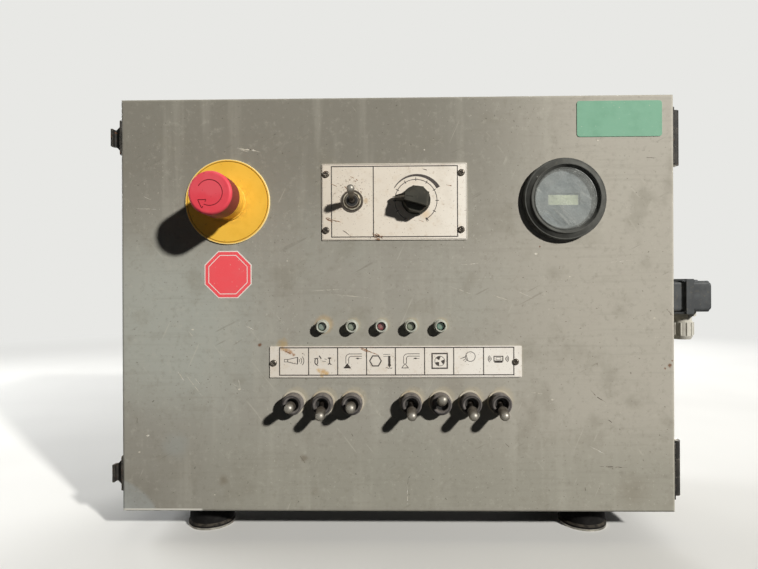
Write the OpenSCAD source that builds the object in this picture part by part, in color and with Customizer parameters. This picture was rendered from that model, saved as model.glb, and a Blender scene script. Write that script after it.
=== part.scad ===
// Electrical control box that stands beside the pump of a truck-mounted concrete pump.
// The door carries all the controls. X is to the right, the front faces -Y and Z is up.
// The origin is in the middle of the four feet, on the surface that they stand on.

/* [Enclosure] */
// Width of the box and of its door
box_w = 566; // [520:1:700]
// Height of the box and of its door
box_h = 425; // [400:1:520]
// Depth of the box behind the door
box_d = 180; // [160:1:260]
// Thickness of the sheet steel
sheet_t = 2; // [1.2:0.1:2.6]
// Outer radius of the box's four long bends
bend_r = 4; // [3:0.5:8]
// Width of the lip that is turned in around the opening
lip_w = 15; // [12:1:18]
// Height of the rib on the lip that presses on the seal
rib_h = 10; // [6:1:11]
// Thickness of that rib
rib_t = 1.6; // [1:0.1:2]

/* [Door] */
// Depth of the door's turned-back edges
door_d = 18; // [17:0.5:24]
// Gap between the closed door's edges and the box
door_gap = 1; // [0.5:0.1:2]
// Radius of the folds around the door's face
fold_r = 3; // [2.7:0.1:5]
// Radius of the door's four welded and ground corners
corner_r = 2.5; // [1:0.1:5]
// Width of the seal
seal_w = 12; // [8:1:16]
// Clearance left between the seal and the rib
seal_gap = 0.3; // [0.1:0.05:0.6]

/* [Feet] */
// Spacing of the feet across the box
foot_x = 408; // [340:1:460]
// Spacing of the feet from front to back
foot_y = 130; // [100:1:150]
// Diameter of a rubber foot
foot_dia = 50; // [36:1:60]
// Height of a foot
foot_h = 28; // [24:1:40]
// Thickness of the steel discs of a foot
disc_t = 2; // [1.5:0.5:3]
// Diameter of the tapped hole in the bottom disc
foot_tap = 8.5; // [6.8:0.1:10.2]
// Depth of that tapped hole
foot_tap_depth = 9; // [6:1:10]
// Diameter of the stud in the top of a foot
stud_dia = 10; // [8:1:12]
// Across flats of the stud's nut
stud_nut = 17; // [16:1:22]

/* [Hinges and latches] */
// Height of the hinges above and below the middle of the door
hinge_z = 172; // [140:1:180]
// Length of a hinge
hinge_len = 57; // [45:1:70]
// Diameter of the hinge barrel
barrel_dia = 11; // [9:0.2:12]
// Gap between the barrel and the face of its leaves
barrel_lift = 0.8; // [0.5:0.1:1.2]
// Diameter of the hinge pin
pin_dia = 5; // [4:0.5:6]
// Thickness of the hinge leaves
leaf_t = 2; // [1.5:0.1:2.4]
// Width of a hinge leaf
leaf_w = 15; // [12:0.5:16]
// Height of the latches above and below the middle of the door
latch_z = 174; // [120:1:182]
// Width of the latch keeper's hook
hook_w = 18; // [14:1:20]
// How far the hook stands out from the door's edge
hook_out = 11; // [9:0.5:13]
// Height of the keeper's plate
keeper_h = 36; // [32:1:40]
// Length of the latch lever
lever_len = 46; // [40:1:52]
// Width of the latch lever
lever_w = 16; // [14:1:18]
// Diameter of the bail's wire
bail_wire = 3; // [2.4:0.2:3.4]

/* [Emergency stop] */
// Distance of the stop button from the door's left edge
estop_in = 111; // [90:1:130]
// Height of the upper row of controls above the door's middle
upper_v = 106; // [90:1:120]
// Diameter of the yellow plate under the stop button
estop_plate_dia = 87.2; // [70:0.2:100]
// Diameter of the mushroom head
head_dia = 41; // [36:1:50]
// Height of the head's face above the door
head_top = 56.5; // [52:0.5:62]
// Height of the head's side
head_side = 28; // [25:0.5:29]
// Diameter of the yellow collar below the head
collar_dia = 36; // [30:1:38]
// How far the head is pressed in
estop_stroke = 4.5; // [3:0.5:5]
// Diameter of the button's stem
stem_dia = 12; // [9:0.5:13]

/* [Upper plate] */
// Width of the plate that carries the selector and the dial
plate_w = 148; // [140:1:160]
// Height of that plate
plate_h = 78; // [70:1:90]
// Thickness of the metal label plates
plate_t = 1.2; // [0.8:0.1:2]
// Place of the selector switch to the right of the door's middle
selector_u = -44; // [-50:1:-38]
// Place of the dial to the right of the door's middle
dial_u = 21; // [15:1:28]
// Width of the dial knob across its flats
knob_flats = 26; // [24:1:32]
// Height of the knob
knob_h = 22.5; // [20:0.5:25]
// Reach of the knob's pointer
pointer_r = 22.5; // [20:0.5:24]
// Direction of the pointer, counter-clockwise from the right
pointer_dir = 173; // [-60:1:240]

/* [Hour meter] */
// Distance of the meter from the door's right edge
meter_in = 111.9; // [95:0.1:130]
// Diameter of the meter's rim
meter_dia = 83; // [78:1:92]
// Height of the rim's crest in front of the door
meter_rim_h = 10.2; // [9.4:0.2:11]
// Diameter of the clear cover
meter_lens = 63.4; // [62.8:0.2:65]
// Height of the cover in front of the door
meter_lens_h = 7.4; // [6.8:0.2:8]
// Diameter of the meter's can
meter_can_dia = 60; // [54:1:60]
// Depth of the can behind the door
meter_depth = 48; // [35:1:50]
// Width of the counter's window
window_w = 32; // [24:1:40]
// Height of the counter's window
window_h = 11.4; // [8:0.2:14]

/* [Lamps and switches] */
// Spacing of the lamps, the switches and the cells of the strip
pitch = 30; // [27:0.5:32]
// Height of the lamps relative to the door's middle
lamp_v = -22; // [-26:1:-10]
// Diameter of a lamp
lamp_dia = 12.5; // [10:0.5:16]
// Height of a lamp
lamp_h = 8.5; // [7:0.5:12]
// Height of the label strip relative to the door's middle
strip_v = -58.5; // [-60:0.5:-52]
// Width of the label strip
strip_w = 257; // [250:1:275]
// Height of the label strip
strip_h = 32; // [26:1:34]
// Height of the lower switches relative to the door's middle
switch_v = -100; // [-120:1:-97]
// Outer diameter of a switch's rubber collar
boot_dia = 21.4; // [21:0.2:25]
// Height of the rubber collar
boot_h = 13; // [11:0.5:14]
// Diameter of the opening in the rubber collar
boot_hole = 13.4; // [13:0.2:14.4]
// Length of a switch lever from its pivot to the middle of its round end
toggle_len = 24; // [20:0.5:28]
// Diameter of the selector lever's round end
toggle_end = 7.8; // [6:0.2:8.4]
// Diameter of the lower levers' grips
lever_grip = 9.6; // [8:0.2:10]
// Tilt of a lever from the middle position
toggle_tilt = 20; // [12:1:20]

/* [Inside] */
// Depth of the space between the back wall and the mounting plate
plate_stand = 14; // [10:1:20]
// Margin between the mounting plate and the walls
plate_margin = 32; // [28:1:45]
// Length of the mounting rails
rail_len = 380; // [300:1:420]
// Height of the rails above and below the middle of the door
rail_z = 60; // [50:1:75]
// Number of terminals in the row
terminals = 24; // [12:1:30]
// Pitch of the terminals
terminal_pitch = 10; // [7:0.5:11]
// Number of relays in the row
relays_n = 6; // [3:1:8]
// Pitch of the relays
relay_pitch = 34; // [30:1:40]

/* [Cable connector] */
// Height of the connector relative to the door's middle
conn_v = 6; // [-40:1:40]
// Depth of the connector's middle behind the front of the box
conn_y = 50; // [48:1:90]
// Length of the connector's housing along the wall
conn_len = 58; // [50:1:60]
// Width of the connector's housing
conn_w = 34; // [30:1:42]
// Distance of the hood's end from the wall
conn_out = 62; // [56:1:75]
// Diameter of the cable gland
gland_dia = 26; // [22:1:28]
// Diameter of the gland's cable bore
gland_bore = 14; // [10:0.5:16]

/* [Hidden] */
$fn = 64;
body_front = -box_d / 2;
body_back = box_d / 2;
door_back = body_front - door_gap;
face_y = door_back - door_d;
mid_z = foot_h + box_h / 2;
half_w = box_w / 2;
half_h = box_h / 2;
over = 1;
run = 0.05;
hole_gap = 0.25;
mitre = lip_w + bend_r;
seal_t = door_d + door_gap - sheet_t - rib_h - seal_gap;
front_open = body_front - rib_h;
rail_paint = [0.7, 0.7, 0.68];
paint = [0.57, 0.56, 0.52];
zinc = [0.62, 0.6, 0.56];
black = [0.14, 0.14, 0.14];
// Foot: its wall around the tapped hole, the waist of the rubber, the stud and nut above it
foot_boss = foot_tap / 2 + 4;
foot_waist = 1.5;
foot_rim = 2;
washer_t = 1.6;
stud_above = 13;
stud_nut_h = 8;
// Hinge: axis, the three knuckles and the joggle from the leaf's plane up to the barrel
barrel_rise = leaf_t + barrel_lift;
hinge_y = body_front - door_gap / 2;
knuckle = hinge_len / 3;
hinge_gap = 0.3;
joggle = 7;
pin_head = 1.2;
// Latch, measured from the box's left side: out, and along Y
latch_plate_t = 1.5;
latch_plate_in = 3;
latch_plate_over = 8;
latch_corner = 2;
latch_pivot = [6.4, body_front + 20];
bail_pivot = [4.6, latch_pivot[1] + 11];
bail_len = bail_pivot[1] - (door_back - 14);
bail_bend = 4;
ear_t = 1.5;
ear_r = 3.6;
ear_gap = 0.2;
bail_in = lever_w / 2 + ear_t + 1.1;
lever_t = 1.5;
lever_lift = 1.2;
lever_heel = 2;
lever_curl = 3.5;
cheek_low = latch_plate_t + 0.6;
cheek_len = 17;
pivot_pin = 3;
keeper_t = 1.6;
keeper_plate = 13;
hook_t = 2;
hook_bend = 1.5;
hook_lip = 5.5;
hook_y = door_back - 9;
// Stop button
estop_u = estop_in - half_w;
estop_plate_t = 1.6;
plate_ring = 2.2;
plate_corner = 0.8;
plate_groove = [0.9, 0.5];
estop_barrel = 22;
estop_barrel_end = -27.5;
estop_nut_t = 5;
estop_nut_w = 5;
head_edge = 2.8;
head_bore_in = 8;
collar_flange = 38.5;
collar_edge = 1;
collar_flange_h = 2.2;
collar_top = head_top - head_side - estop_stroke - 0.9;
arrow_r = 11.9;
arrow_w = 0.9;
arrow_deep = 0.5;
arrow_from = -116;
arrow_to = 149;
arrow_tip = [4.6, 33];
holder = [30, 40, 12];
holder_corner = 3;
contact = [9.4, 40, 22];
contact_notch = [5, 6];
contact_screw = 4.4;
contact_screw_in = 9;
contact_gap = 0.9;
// Lever switches: bushing, ball of the lever, body and terminals
bushing_dia = 12;
bushing_h = 7;
pivot_h = 4;
ball_dia = 7;
neck_dia = 4;
neck_step = 0.5;
neck_len = 9.5;
grip_flare = 4;
switch_size = [17, 29, 24];
switch_edge = 1.5;
blade = [6, 0.8, 8.5];
blade_pitch = 9;
panel_nut = 17;
panel_nut_t = 2.5;
selector_washer = 22.6;
selector_ring = 18.6;
selector_ring_t = 1;
selector_cap = [16.6, 2.4];
frame_t = 1.5;
washer_ring_t = 1.2;
boot_bead = 0.7;
boot_beads = 3;
boot_crown = 2.2;
boot_seat = 1.5;
// Dial
pot_bushing = 9;
pot_nut = 14;
pot_dia = 24;
pot_d = 14;
pot_bushing_up = 2;
pot_tag = [3, 7, 0.8];
pot_tag_pitch = 5;
pot_tag_back = 6;
shaft_dia = 6;
shaft_short = 4;
knob_foot = 1.2;
knob_lean = 3;
knob_body = 13;
knob_socket = 2.5;
knob_facets = 8;
knob_skirt = 1.6;
knob_skirt_h = 2.5;
pointer_t = 4;
grip_back = [11.5, 7];
grip_nose = 2;
grip_top = 12;
grip_bevel = 2;
index_w = 1;
index_deep = 0.5;
// Meter
meter_u = half_w - meter_in;
meter_floor = 2.5;
rim_lip = 6.2;
rim_funnel = 2.9;
rim_cup = 0.8;
rim_edge = 0.9;
lens_t = 1.4;
lens_edge = 1.2;
can_t = 1;
dial_sink = 0.5;
dial_t = 1.2;
meter_stud = 5;
meter_stud_h = 9;
meter_nut = 8;
bracket_w = 16;
bracket_t = 1.6;
bracket_foot = 9;
// Lamps
lamp_wall = 1.9;
lamp_lip = 1;
lamp_funnel = 0.5;
lamp_flange = [0.7, 1.2];
lens_sink = 3.2;
lens_bevel = 1;
lamp_body_d = 24;
lamp_nut = 16;
lamp_nut_t = 3;
lamp_tag = [0.8, 2.8, 7];
// Mounting plate, rails and what sits on them
plate_y = body_back - sheet_t - plate_stand;
standoff_dia = 14;
standoff_in = 15;
rail_y = plate_y - sheet_t;
rail_h = 7.5;
rail_w = 35;
rail_top = 25;
rail_t = 1;
terminal_gap = 0.8;
terminal_h = 34;
terminal_w = 48;
terminal_screw = 4;
terminal_end_t = 6;
terminal_base = 6;
terminal_end = [0.7, 0.8];
terminal_hole = [0.42, 0.43];
TERMINAL_STEPS = [[0, 1], [0.4, 1], [0.45, 0.72], [0.85, 0.55], [1, 0.35]];
relay_base = [28, 18, 76];
relay_size = [27, 30, 40];
relay_screw = 4.5;
relay_screw_in = 6;
relay_corner = 2;
// Connector
conn_flange = 6;
conn_base = 26;
conn_ears = 9;
conn_wall = 3.5;
conn_floor = 8;
conn_plug = 12;
conn_corner = 4;
conn_flange_over = 4;
hood_step = [3, 4];
plug_gap = 0.5;
conn_hole_in = 16;
lock_t = 2;
lock_w = 9;
lock_grip = 8;
lock_low = 3;
lock_tail = 2;
rib_pitch = 9;
hood_rib = [16, 1.2, 2];
hood_rib_in = 12;
gland_hex_h = 6;
gland_len = 28;
gland_ribs = 12;
gland_rib = 1;
gland_neck = 2;
gland_taper = 4;
gland_floor = 2;
// Positions of the lower switches, in pitches from the middle, and their tilt, up being 1
SWITCHES = [[-3.5, 0], [-2.5, -1], [-1.5, 0], [0.5, -1], [1.5, 1], [2.5, -1], [3.5, -1]];
// Positions of the lamps, in pitches from the middle
LAMPS = [-2.5, -1.5, -0.5, 0.5, 1.5];

// Extrudes a shape drawn in X and Z from y0 to y1
module along_y(y0, y1) {
  translate([0, y1, mid_z]) rotate([90, 0, 0]) linear_extrude(y1 - y0) children();
}

// Extrudes a shape drawn in Y and Z from x0 to x1
module along_x(x0, x1) {
  translate([x0, 0, 0]) rotate([90, 0, 90]) linear_extrude(x1 - x0) children();
}

// Puts children on the door's face: X to the right, Y up, Z out of the face
module on_face(u, v) {
  translate([u, face_y, mid_z + v]) rotate([90, 0, 0]) children();
}

module rounded(w, h, r) {
  square([w - 2 * r, h], center = true);
  square([w, h - 2 * r], center = true);
  for (x = [-1, 1], y = [-1, 1])
    translate([x * (w / 2 - r), y * (h / 2 - r)]) circle(r);
}

module rod(r, z0, z1) {
  translate([0, 0, z0]) cylinder(r = r, h = z1 - z0);
}

module tube(r_out, r_in, z0, z1) {
  difference() {
    rod(r_out, z0, z1);
    rod(r_in, z0 - over, z1 + over);
  }
}

module hex_nut(flats, bore, z0, z1) {
  difference() {
    translate([0, 0, z0]) cylinder(d = flats / cos(30), h = z1 - z0, $fn = 6);
    rod(bore / 2, z0 - over, z1 + over);
  }
}

// Half section of a turned piece from r0 to r1, with a round edge at the top outside
module turned(r0, r1, z0, z1, edge) {
  translate([r0, z0]) square([r1 - edge - r0, z1 - z0]);
  translate([r0, z0]) square([r1 - r0, z1 - edge - z0]);
  translate([r1 - edge, z1 - edge]) circle(edge);
}

// Quarter of a flat ring around the origin, in the quadrant of +X and +Y
module quarter_ring(r_in, t) {
  intersection() {
    difference() {
      circle(r_in + t);
      circle(r_in);
    }
    square(r_in + t + over);
  }
}

// The four walls, the lip and the rib as one ring, before it is mitred into panels
module wrapper() {
  along_y(body_front, body_back - sheet_t) difference() {
    rounded(box_w, box_h, bend_r);
    rounded(box_w - 2 * sheet_t, box_h - 2 * sheet_t, max(bend_r - sheet_t, 0.5));
  }
  along_y(body_front, body_front + sheet_t) difference() {
    rounded(box_w - sheet_t, box_h - sheet_t, bend_r);
    square([box_w - 2 * lip_w, box_h - 2 * lip_w], center = true);
  }
  along_y(front_open, body_front + sheet_t / 2) difference() {
    square([box_w - 2 * (lip_w - rib_t), box_h - 2 * (lip_w - rib_t)], center = true);
    square([box_w - 2 * lip_w, box_h - 2 * lip_w], center = true);
  }
}

// One wall: the part of the wrapper between two mitres
module wall(points) {
  intersection() {
    wrapper();
    along_y(front_open - over, body_back + over) polygon(points);
  }
}

function side_points(s) = [
  [s * (half_w + over), half_h + over], [s * (half_w - mitre), half_h - mitre],
  [s * (half_w - mitre), -half_h + mitre], [s * (half_w + over), -half_h - over]
];

function level_points(s) = [
  [-half_w - over, s * (half_h + over)], [-half_w + mitre, s * (half_h - mitre)],
  [half_w - mitre, s * (half_h - mitre)], [half_w + over, s * (half_h + over)]
];

module back_wall() {
  color(paint) along_y(body_back - sheet_t, body_back) rounded(box_w, box_h, bend_r);
}

module left_wall() {
  color(paint) wall(side_points(-1));
}

module right_wall() {
  color(paint) difference() {
    wall(side_points(1));
    at_connector() translate([0, 0, -sheet_t - over]) linear_extrude(sheet_t + 2 * over)
      square([conn_len - conn_hole_in, conn_w - conn_plug], center = true);
  }
}

module top_wall() {
  color(paint) wall(level_points(1));
}

module bottom_wall() {
  color(paint) difference() {
    wall(level_points(-1));
    at_feet() rod(stud_dia / 2 + 2 * hole_gap, foot_h - over, foot_h + sheet_t + over);
  }
}

module at_feet() {
  for (x = [-1, 1], y = [-1, 1])
    translate([x * foot_x / 2, y * foot_y / 2, 0]) children();
}

module foot_rubbers() {
  r = foot_dia / 2;
  top = foot_h - disc_t;
  color([0.12, 0.12, 0.12]) at_feet() difference() {
    rotate_extrude() polygon([
      [0, disc_t], [r, disc_t], [r, disc_t + foot_rim], [r - foot_waist, disc_t + 2 * foot_rim],
      [r - foot_waist, top - 2 * foot_rim], [r, top - foot_rim], [r, top], [0, top]
    ]);
    rod(foot_boss, -over, foot_tap_depth + disc_t / 2);
  }
}

module foot_discs() {
  color(zinc) at_feet() difference() {
    union() {
      rod(foot_dia / 2, 0, disc_t);
      rod(foot_boss, disc_t / 2, foot_tap_depth + disc_t / 2);
    }
    rod(foot_tap / 2, -over, foot_tap_depth);
  }
}

module foot_studs() {
  color(zinc) at_feet() {
    rod(foot_dia / 2, foot_h - disc_t, foot_h);
    rod(stud_dia / 2, foot_h - disc_t / 2, foot_h + sheet_t + stud_above);
  }
}

module foot_nuts() {
  seat = foot_h + sheet_t;
  color([0.7, 0.68, 0.6]) at_feet() {
    tube(stud_nut / 2 + 2, stud_dia / 2 + run, seat, seat + washer_t);
    hex_nut(stud_nut, stud_dia + 2 * run, seat + washer_t, seat + washer_t + stud_nut_h);
  }
}

module at_hinges() {
  for (s = [-1, 1]) translate([half_w, hinge_y, mid_z + s * hinge_z - hinge_len / 2]) children();
}

// A knuckle and the joggled strip that joins it to its leaf, in X and Y from the hinge's middle
module knuckle_outline(dir, bore) {
  difference() {
    union() {
      translate([barrel_rise + barrel_dia / 2, 0]) circle(d = barrel_dia);
      polygon([
        [0, dir * (joggle + leaf_t)], [0, dir * joggle], [barrel_rise, dir * leaf_t], [barrel_rise, 0],
        [barrel_rise + leaf_t, 0], [barrel_rise + leaf_t, dir * leaf_t], [leaf_t, dir * (joggle + leaf_t)]
      ]);
    }
    translate([barrel_rise + barrel_dia / 2, 0]) circle(d = bore);
  }
}

// One half of a hinge: dir is 1 on the box and -1 on the door, spans lists its knuckles' ends
module hinge_half(dir, spans, bore) {
  translate([0, dir > 0 ? joggle : -leaf_w, 0]) cube([leaf_t, leaf_w - joggle, hinge_len]);
  for (s = spans) translate([0, 0, s[0]]) linear_extrude(s[1] - s[0]) knuckle_outline(dir, bore);
}

module hinge_leaves_box() {
  color(black) at_hinges()
    hinge_half(1, [[0, knuckle], [2 * knuckle, hinge_len]], pin_dia + run);
}

module hinge_leaves_door() {
  color(black) at_hinges()
    hinge_half(-1, [[knuckle + hinge_gap, 2 * knuckle - hinge_gap]], pin_dia + 2 * run);
}

module hinge_pins() {
  color(zinc) at_hinges() translate([barrel_rise + barrel_dia / 2, 0, 0]) {
    rod(pin_dia / 2, 0, hinge_len);
    for (end = [0, 1]) translate([0, 0, end * hinge_len]) mirror([0, 0, 1 - end])
      cylinder(r1 = pin_dia / 2 + pin_head, r2 = pin_dia / 2, h = pin_head);
  }
}

// Solid with rounded folds on the four edges of its front face
module folded(w, h, d, r) {
  intersection() {
    linear_extrude(h, center = true) fold_outline(w, d, r);
    rotate([90, 0, 90]) linear_extrude(w, center = true) fold_outline_up(h, d, r);
  }
}

// Outline in X and Y: front edge on Y = 0, rounded at its two corners
module fold_outline(w, d, r) {
  translate([-w / 2, r]) square([w, d - r]);
  translate([-w / 2 + r, 0]) square([w - 2 * r, r + run]);
  for (s = [-1, 1]) translate([s * (w / 2 - r), r]) circle(r);
}

// The same outline standing up, drawn in Y and Z
module fold_outline_up(h, d, r) {
  translate([r, -h / 2]) square([d - r, h]);
  translate([0, -h / 2 + r]) square([r + run, h - 2 * r]);
  for (s = [-1, 1]) translate([r, s * (h / 2 - r)]) circle(r);
}

module door_hole(r) {
  rod(r + hole_gap, -sheet_t - over, over);
}

module door_pan() {
  color([0.6, 0.585, 0.545]) difference() {
    intersection() {
      translate([0, face_y, mid_z]) folded(box_w, box_h, door_d, fold_r);
      along_y(face_y - over, door_back + over) rounded(box_w, box_h, corner_r);
    }
    translate([0, face_y + sheet_t, mid_z])
      folded(box_w - 2 * sheet_t, box_h - 2 * sheet_t, door_d, fold_r - sheet_t);
    on_face(estop_u, upper_v) door_hole(estop_barrel / 2);
    on_face(selector_u, upper_v) door_hole(bushing_dia / 2);
    on_face(dial_u, upper_v) door_hole(pot_bushing / 2);
    on_face(meter_u, upper_v) door_hole(meter_can_dia / 2);
    at_lamps() door_hole(lamp_dia / 2 - lamp_lip);
    at_switches() door_hole(bushing_dia / 2);
  }
}

module door_seal() {
  inset = lip_w - rib_t / 2 - seal_w / 2;
  color([0.1, 0.1, 0.1]) along_y(face_y + sheet_t, face_y + sheet_t + seal_t) difference() {
    square([box_w - 2 * inset, box_h - 2 * inset], center = true);
    square([box_w - 2 * (inset + seal_w), box_h - 2 * (inset + seal_w)], center = true);
  }
}

module at_lamps() {
  for (k = LAMPS) on_face(k * pitch, lamp_v) children();
}

module at_switches() {
  for (s = SWITCHES) on_face(s[0] * pitch, switch_v) children();
}

// Latches: X is measured outwards from the left side, Y as the box, Z from the latch's middle
module at_latch(s) {
  translate([-half_w, 0, mid_z + s * latch_z]) mirror([1, 0, 0]) children();
}

// The keeper's plate, its flanged arm and the lip that the bail hooks over
module latch_keepers() {
  bend_x = hook_out - hook_t - hook_bend;
  color(black) for (s = [-1, 1]) at_latch(s) {
    along_x(0, keeper_t) translate([hook_y - hook_t / 2, 0]) rounded(keeper_plate, keeper_h, latch_corner);
    translate([0, hook_y, 0]) rotate([90, 0, 0]) linear_extrude(hook_t) polygon([
      [keeper_t / 2, -keeper_h / 2 + hook_t], [bend_x, -hook_w / 2], [bend_x, hook_w / 2],
      [keeper_t / 2, keeper_h / 2 - hook_t]
    ]);
    translate([bend_x, hook_y - hook_t - hook_bend, -hook_w / 2]) linear_extrude(hook_w) {
      quarter_ring(hook_bend, hook_t);
      translate([hook_bend, -hook_lip + hook_bend]) square([hook_t, hook_lip - hook_bend]);
    }
  }
}

module latch_bases() {
  wide = lever_w + 2 * (ear_t + ear_gap);
  long = lever_len + latch_plate_over;
  color(black) for (s = [-1, 1]) at_latch(s) difference() {
    union() {
      along_x(0, latch_plate_t) translate([body_front + latch_plate_in + long / 2, 0])
        rounded(long, wide, latch_corner);
      for (k = [-1, 1]) translate([0, latch_pivot[1], k * (wide - ear_t) / 2 - ear_t / 2])
        linear_extrude(ear_t) ear_outline();
    }
    translate([latch_pivot[0], latch_pivot[1], -lever_w])
      cylinder(d = pivot_pin + 2 * run, h = 2 * lever_w);
  }
}

module ear_outline() {
  translate([0, -ear_r]) square([latch_pivot[0], 2 * ear_r]);
  translate([latch_pivot[0], 0]) circle(ear_r);
}

// Section of the lever along Y from its pivot: a strip whose end curls outwards for the finger
module lever_outline() {
  curl = lever_curl + lever_t;
  straight = lever_len - lever_heel - curl;
  translate([latch_pivot[0] + lever_lift, -lever_heel]) square([lever_t, straight + lever_heel]);
  translate([latch_pivot[0] + lever_lift + curl, straight]) mirror([1, 0])
    quarter_ring(lever_curl, lever_t);
}

module cheek_outline() {
  top = latch_pivot[0] + lever_lift + lever_t / 2;
  polygon([
    [cheek_low, -lever_heel], [top, -lever_heel], [top, 2 * cheek_len],
    [cheek_low + lever_t, cheek_len], [cheek_low, cheek_len - lever_t]
  ]);
}

module latch_lever() {
  difference() {
    translate([0, latch_pivot[1], -lever_w / 2]) {
      linear_extrude(lever_w) lever_outline();
      for (z = [0, lever_w - lever_t]) translate([0, 0, z]) linear_extrude(lever_t) cheek_outline();
      translate([latch_pivot[0], 0, -ear_t - ear_gap])
        cylinder(d = pivot_pin, h = lever_w + 2 * (ear_t + ear_gap));
    }
    translate([bail_pivot[0], bail_pivot[1], -lever_w])
      cylinder(d = bail_wire + 2 * run, h = 2 * lever_w);
  }
}

// The bail: two legs with their ends turned in through the lever's cheeks, two bends and a crossbar
module latch_bail() {
  r = bail_wire / 2;
  leg_z = bail_in + r;
  straight = bail_len - bail_bend;
  translate([bail_pivot[0], bail_pivot[1], 0]) {
    for (k = [-1, 1]) scale([1, 1, k]) {
      translate([0, 0, lever_w / 2 - lever_t]) cylinder(r = r, h = leg_z - lever_w / 2 + lever_t);
      translate([0, 0, leg_z]) sphere(r);
      translate([0, 0, leg_z]) rotate([-90, 0, 0]) cylinder(r = r, h = straight);
      translate([0, straight, leg_z - bail_bend]) rotate([0, -90, 0]) wire_bend(bail_bend, r);
      translate([0, bail_len, 0]) cylinder(r = r, h = leg_z - bail_bend);
    }
  }
}

// Quarter turn of round wire in the quadrant of +X and +Y
module wire_bend(bend, r) {
  intersection() {
    rotate_extrude() translate([bend, 0]) circle(r);
    translate([0, 0, -r - over]) cube([bend + 2 * r, bend + 2 * r, 2 * r + 2 * over]);
  }
}

module estop_plate() {
  r = estop_plate_dia / 2;
  color([0.96, 0.76, 0.2]) on_face(estop_u, upper_v) difference() {
    rotate_extrude() turned(estop_barrel / 2 + hole_gap, r, 0, estop_plate_t, estop_plate_t / 3);
    tube(r - plate_ring + plate_groove[0] / 2, r - plate_ring - plate_groove[0] / 2,
      estop_plate_t - plate_groove[1], estop_plate_t + over);
  }
}

module estop_collar() {
  bore = stem_dia / 2 + run;
  barrel = estop_barrel / 2 - bore;
  flange_top = estop_plate_t + collar_flange_h;
  color([0.93, 0.72, 0.2]) on_face(estop_u, upper_v) rotate_extrude() {
    translate([bore, estop_barrel_end]) square([barrel, estop_plate_t - estop_barrel_end]);
    turned(bore, collar_flange / 2, estop_plate_t, flange_top, collar_edge);
    turned(bore, collar_dia / 2, flange_top - over, collar_top, collar_edge);
  }
}

// Nut behind the door, holder with its clip edges and three contact blocks side by side
module estop_block() {
  low = estop_barrel_end - holder[2];
  color([0.25, 0.25, 0.26]) on_face(estop_u, upper_v) {
    tube(estop_barrel / 2 + estop_nut_w, estop_barrel / 2 + run, -sheet_t - estop_nut_t, -sheet_t);
    translate([0, 0, low]) linear_extrude(holder[2]) rounded(holder[0], holder[1], holder_corner);
    for (k = [-1 : 1]) translate([k * (contact[0] + contact_gap), 0, low - contact[2]]) contact_block();
  }
}

// One contact block: a notch and a screw's recess at each end
module contact_block() {
  in = contact_notch[0];
  difference() {
    linear_extrude(contact[2]) square([contact[0], contact[1]], center = true);
    for (s = [-1, 1]) {
      translate([-contact[0], s * contact[1] / 2 - in, -over])
        cube([2 * contact[0], 2 * in, contact_notch[1] + over]);
      translate([0, s * (contact[1] / 2 - contact_screw_in), -over])
        cylinder(d = contact_screw, h = contact_notch[1] - over);
    }
  }
}

module estop_stem() {
  color([0.4, 0.4, 0.4]) on_face(estop_u, upper_v)
    rod(stem_dia / 2, estop_barrel_end + estop_stroke + 1, head_top - head_bore_in);
}

// Mushroom head with round edges and the twist arrow engraved in its face
module estop_head() {
  r = head_dia / 2;
  low = head_top - head_side;
  color([0.85, 0.27, 0.33]) on_face(estop_u, upper_v) difference() {
    rotate_extrude() {
      turned(0, r, low + head_edge, head_top, head_edge);
      mirror([0, 1]) turned(0, r, -low - 2 * head_edge, -low, head_edge / 2);
    }
    rod(stem_dia / 2 + run, low - over, head_top - head_bore_in + run);
    translate([0, 0, head_top - arrow_deep]) linear_extrude(2 * arrow_deep) twist_arrow();
  }
}

function polar(r, a) = [r * cos(a), r * sin(a)];

// Open ring that ends in the outline of an arrow's tip
module twist_arrow() {
  reach = 2 * arrow_r;
  gap_mid = (arrow_from + arrow_to + 360) / 2;
  tip = polar(arrow_r + arrow_w, arrow_from - arrow_tip[1]);
  difference() {
    circle(arrow_r + arrow_w / 2);
    circle(arrow_r - arrow_w / 2);
    polygon([[0, 0], polar(reach, arrow_to), polar(reach, gap_mid), polar(reach, arrow_from + 360)]);
  }
  for (side = [-1, 1]) {
    wing = polar(arrow_r + side * arrow_tip[0], arrow_from);
    groove(wing, tip);
    groove(wing, polar(arrow_r + side * arrow_tip[0] / 2, arrow_from));
  }
}

module groove(a, b) {
  d = b - a;
  translate(a) rotate(atan2(d[1], d[0])) translate([0, -arrow_w / 2]) square([norm(d), arrow_w]);
}

module selector_plate() {
  color([0.87, 0.85, 0.79]) difference() {
    on_face(-1, upper_v - 1) linear_extrude(plate_t) rounded(plate_w, plate_h, plate_corner);
    on_face(selector_u, upper_v) rod(bushing_dia / 2 + hole_gap, -over, plate_t + over);
    on_face(dial_u, upper_v) rod(pot_bushing / 2 + hole_gap, -over, plate_t + over);
  }
}

// Two round washers and a round nut with a chamfer
module selector_nut() {
  seat = plate_t + 2 * selector_ring_t;
  color(zinc) on_face(selector_u, upper_v) difference() {
    union() {
      rod(selector_washer / 2, plate_t, plate_t + selector_ring_t);
      rod(selector_ring / 2, plate_t, seat);
      translate([0, 0, seat - run])
        cylinder(d1 = selector_cap[0], d2 = selector_cap[0] - 2, h = selector_cap[1] + run);
    }
    rod(bushing_dia / 2 + run, 0, bushing_h);
  }
}

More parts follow.
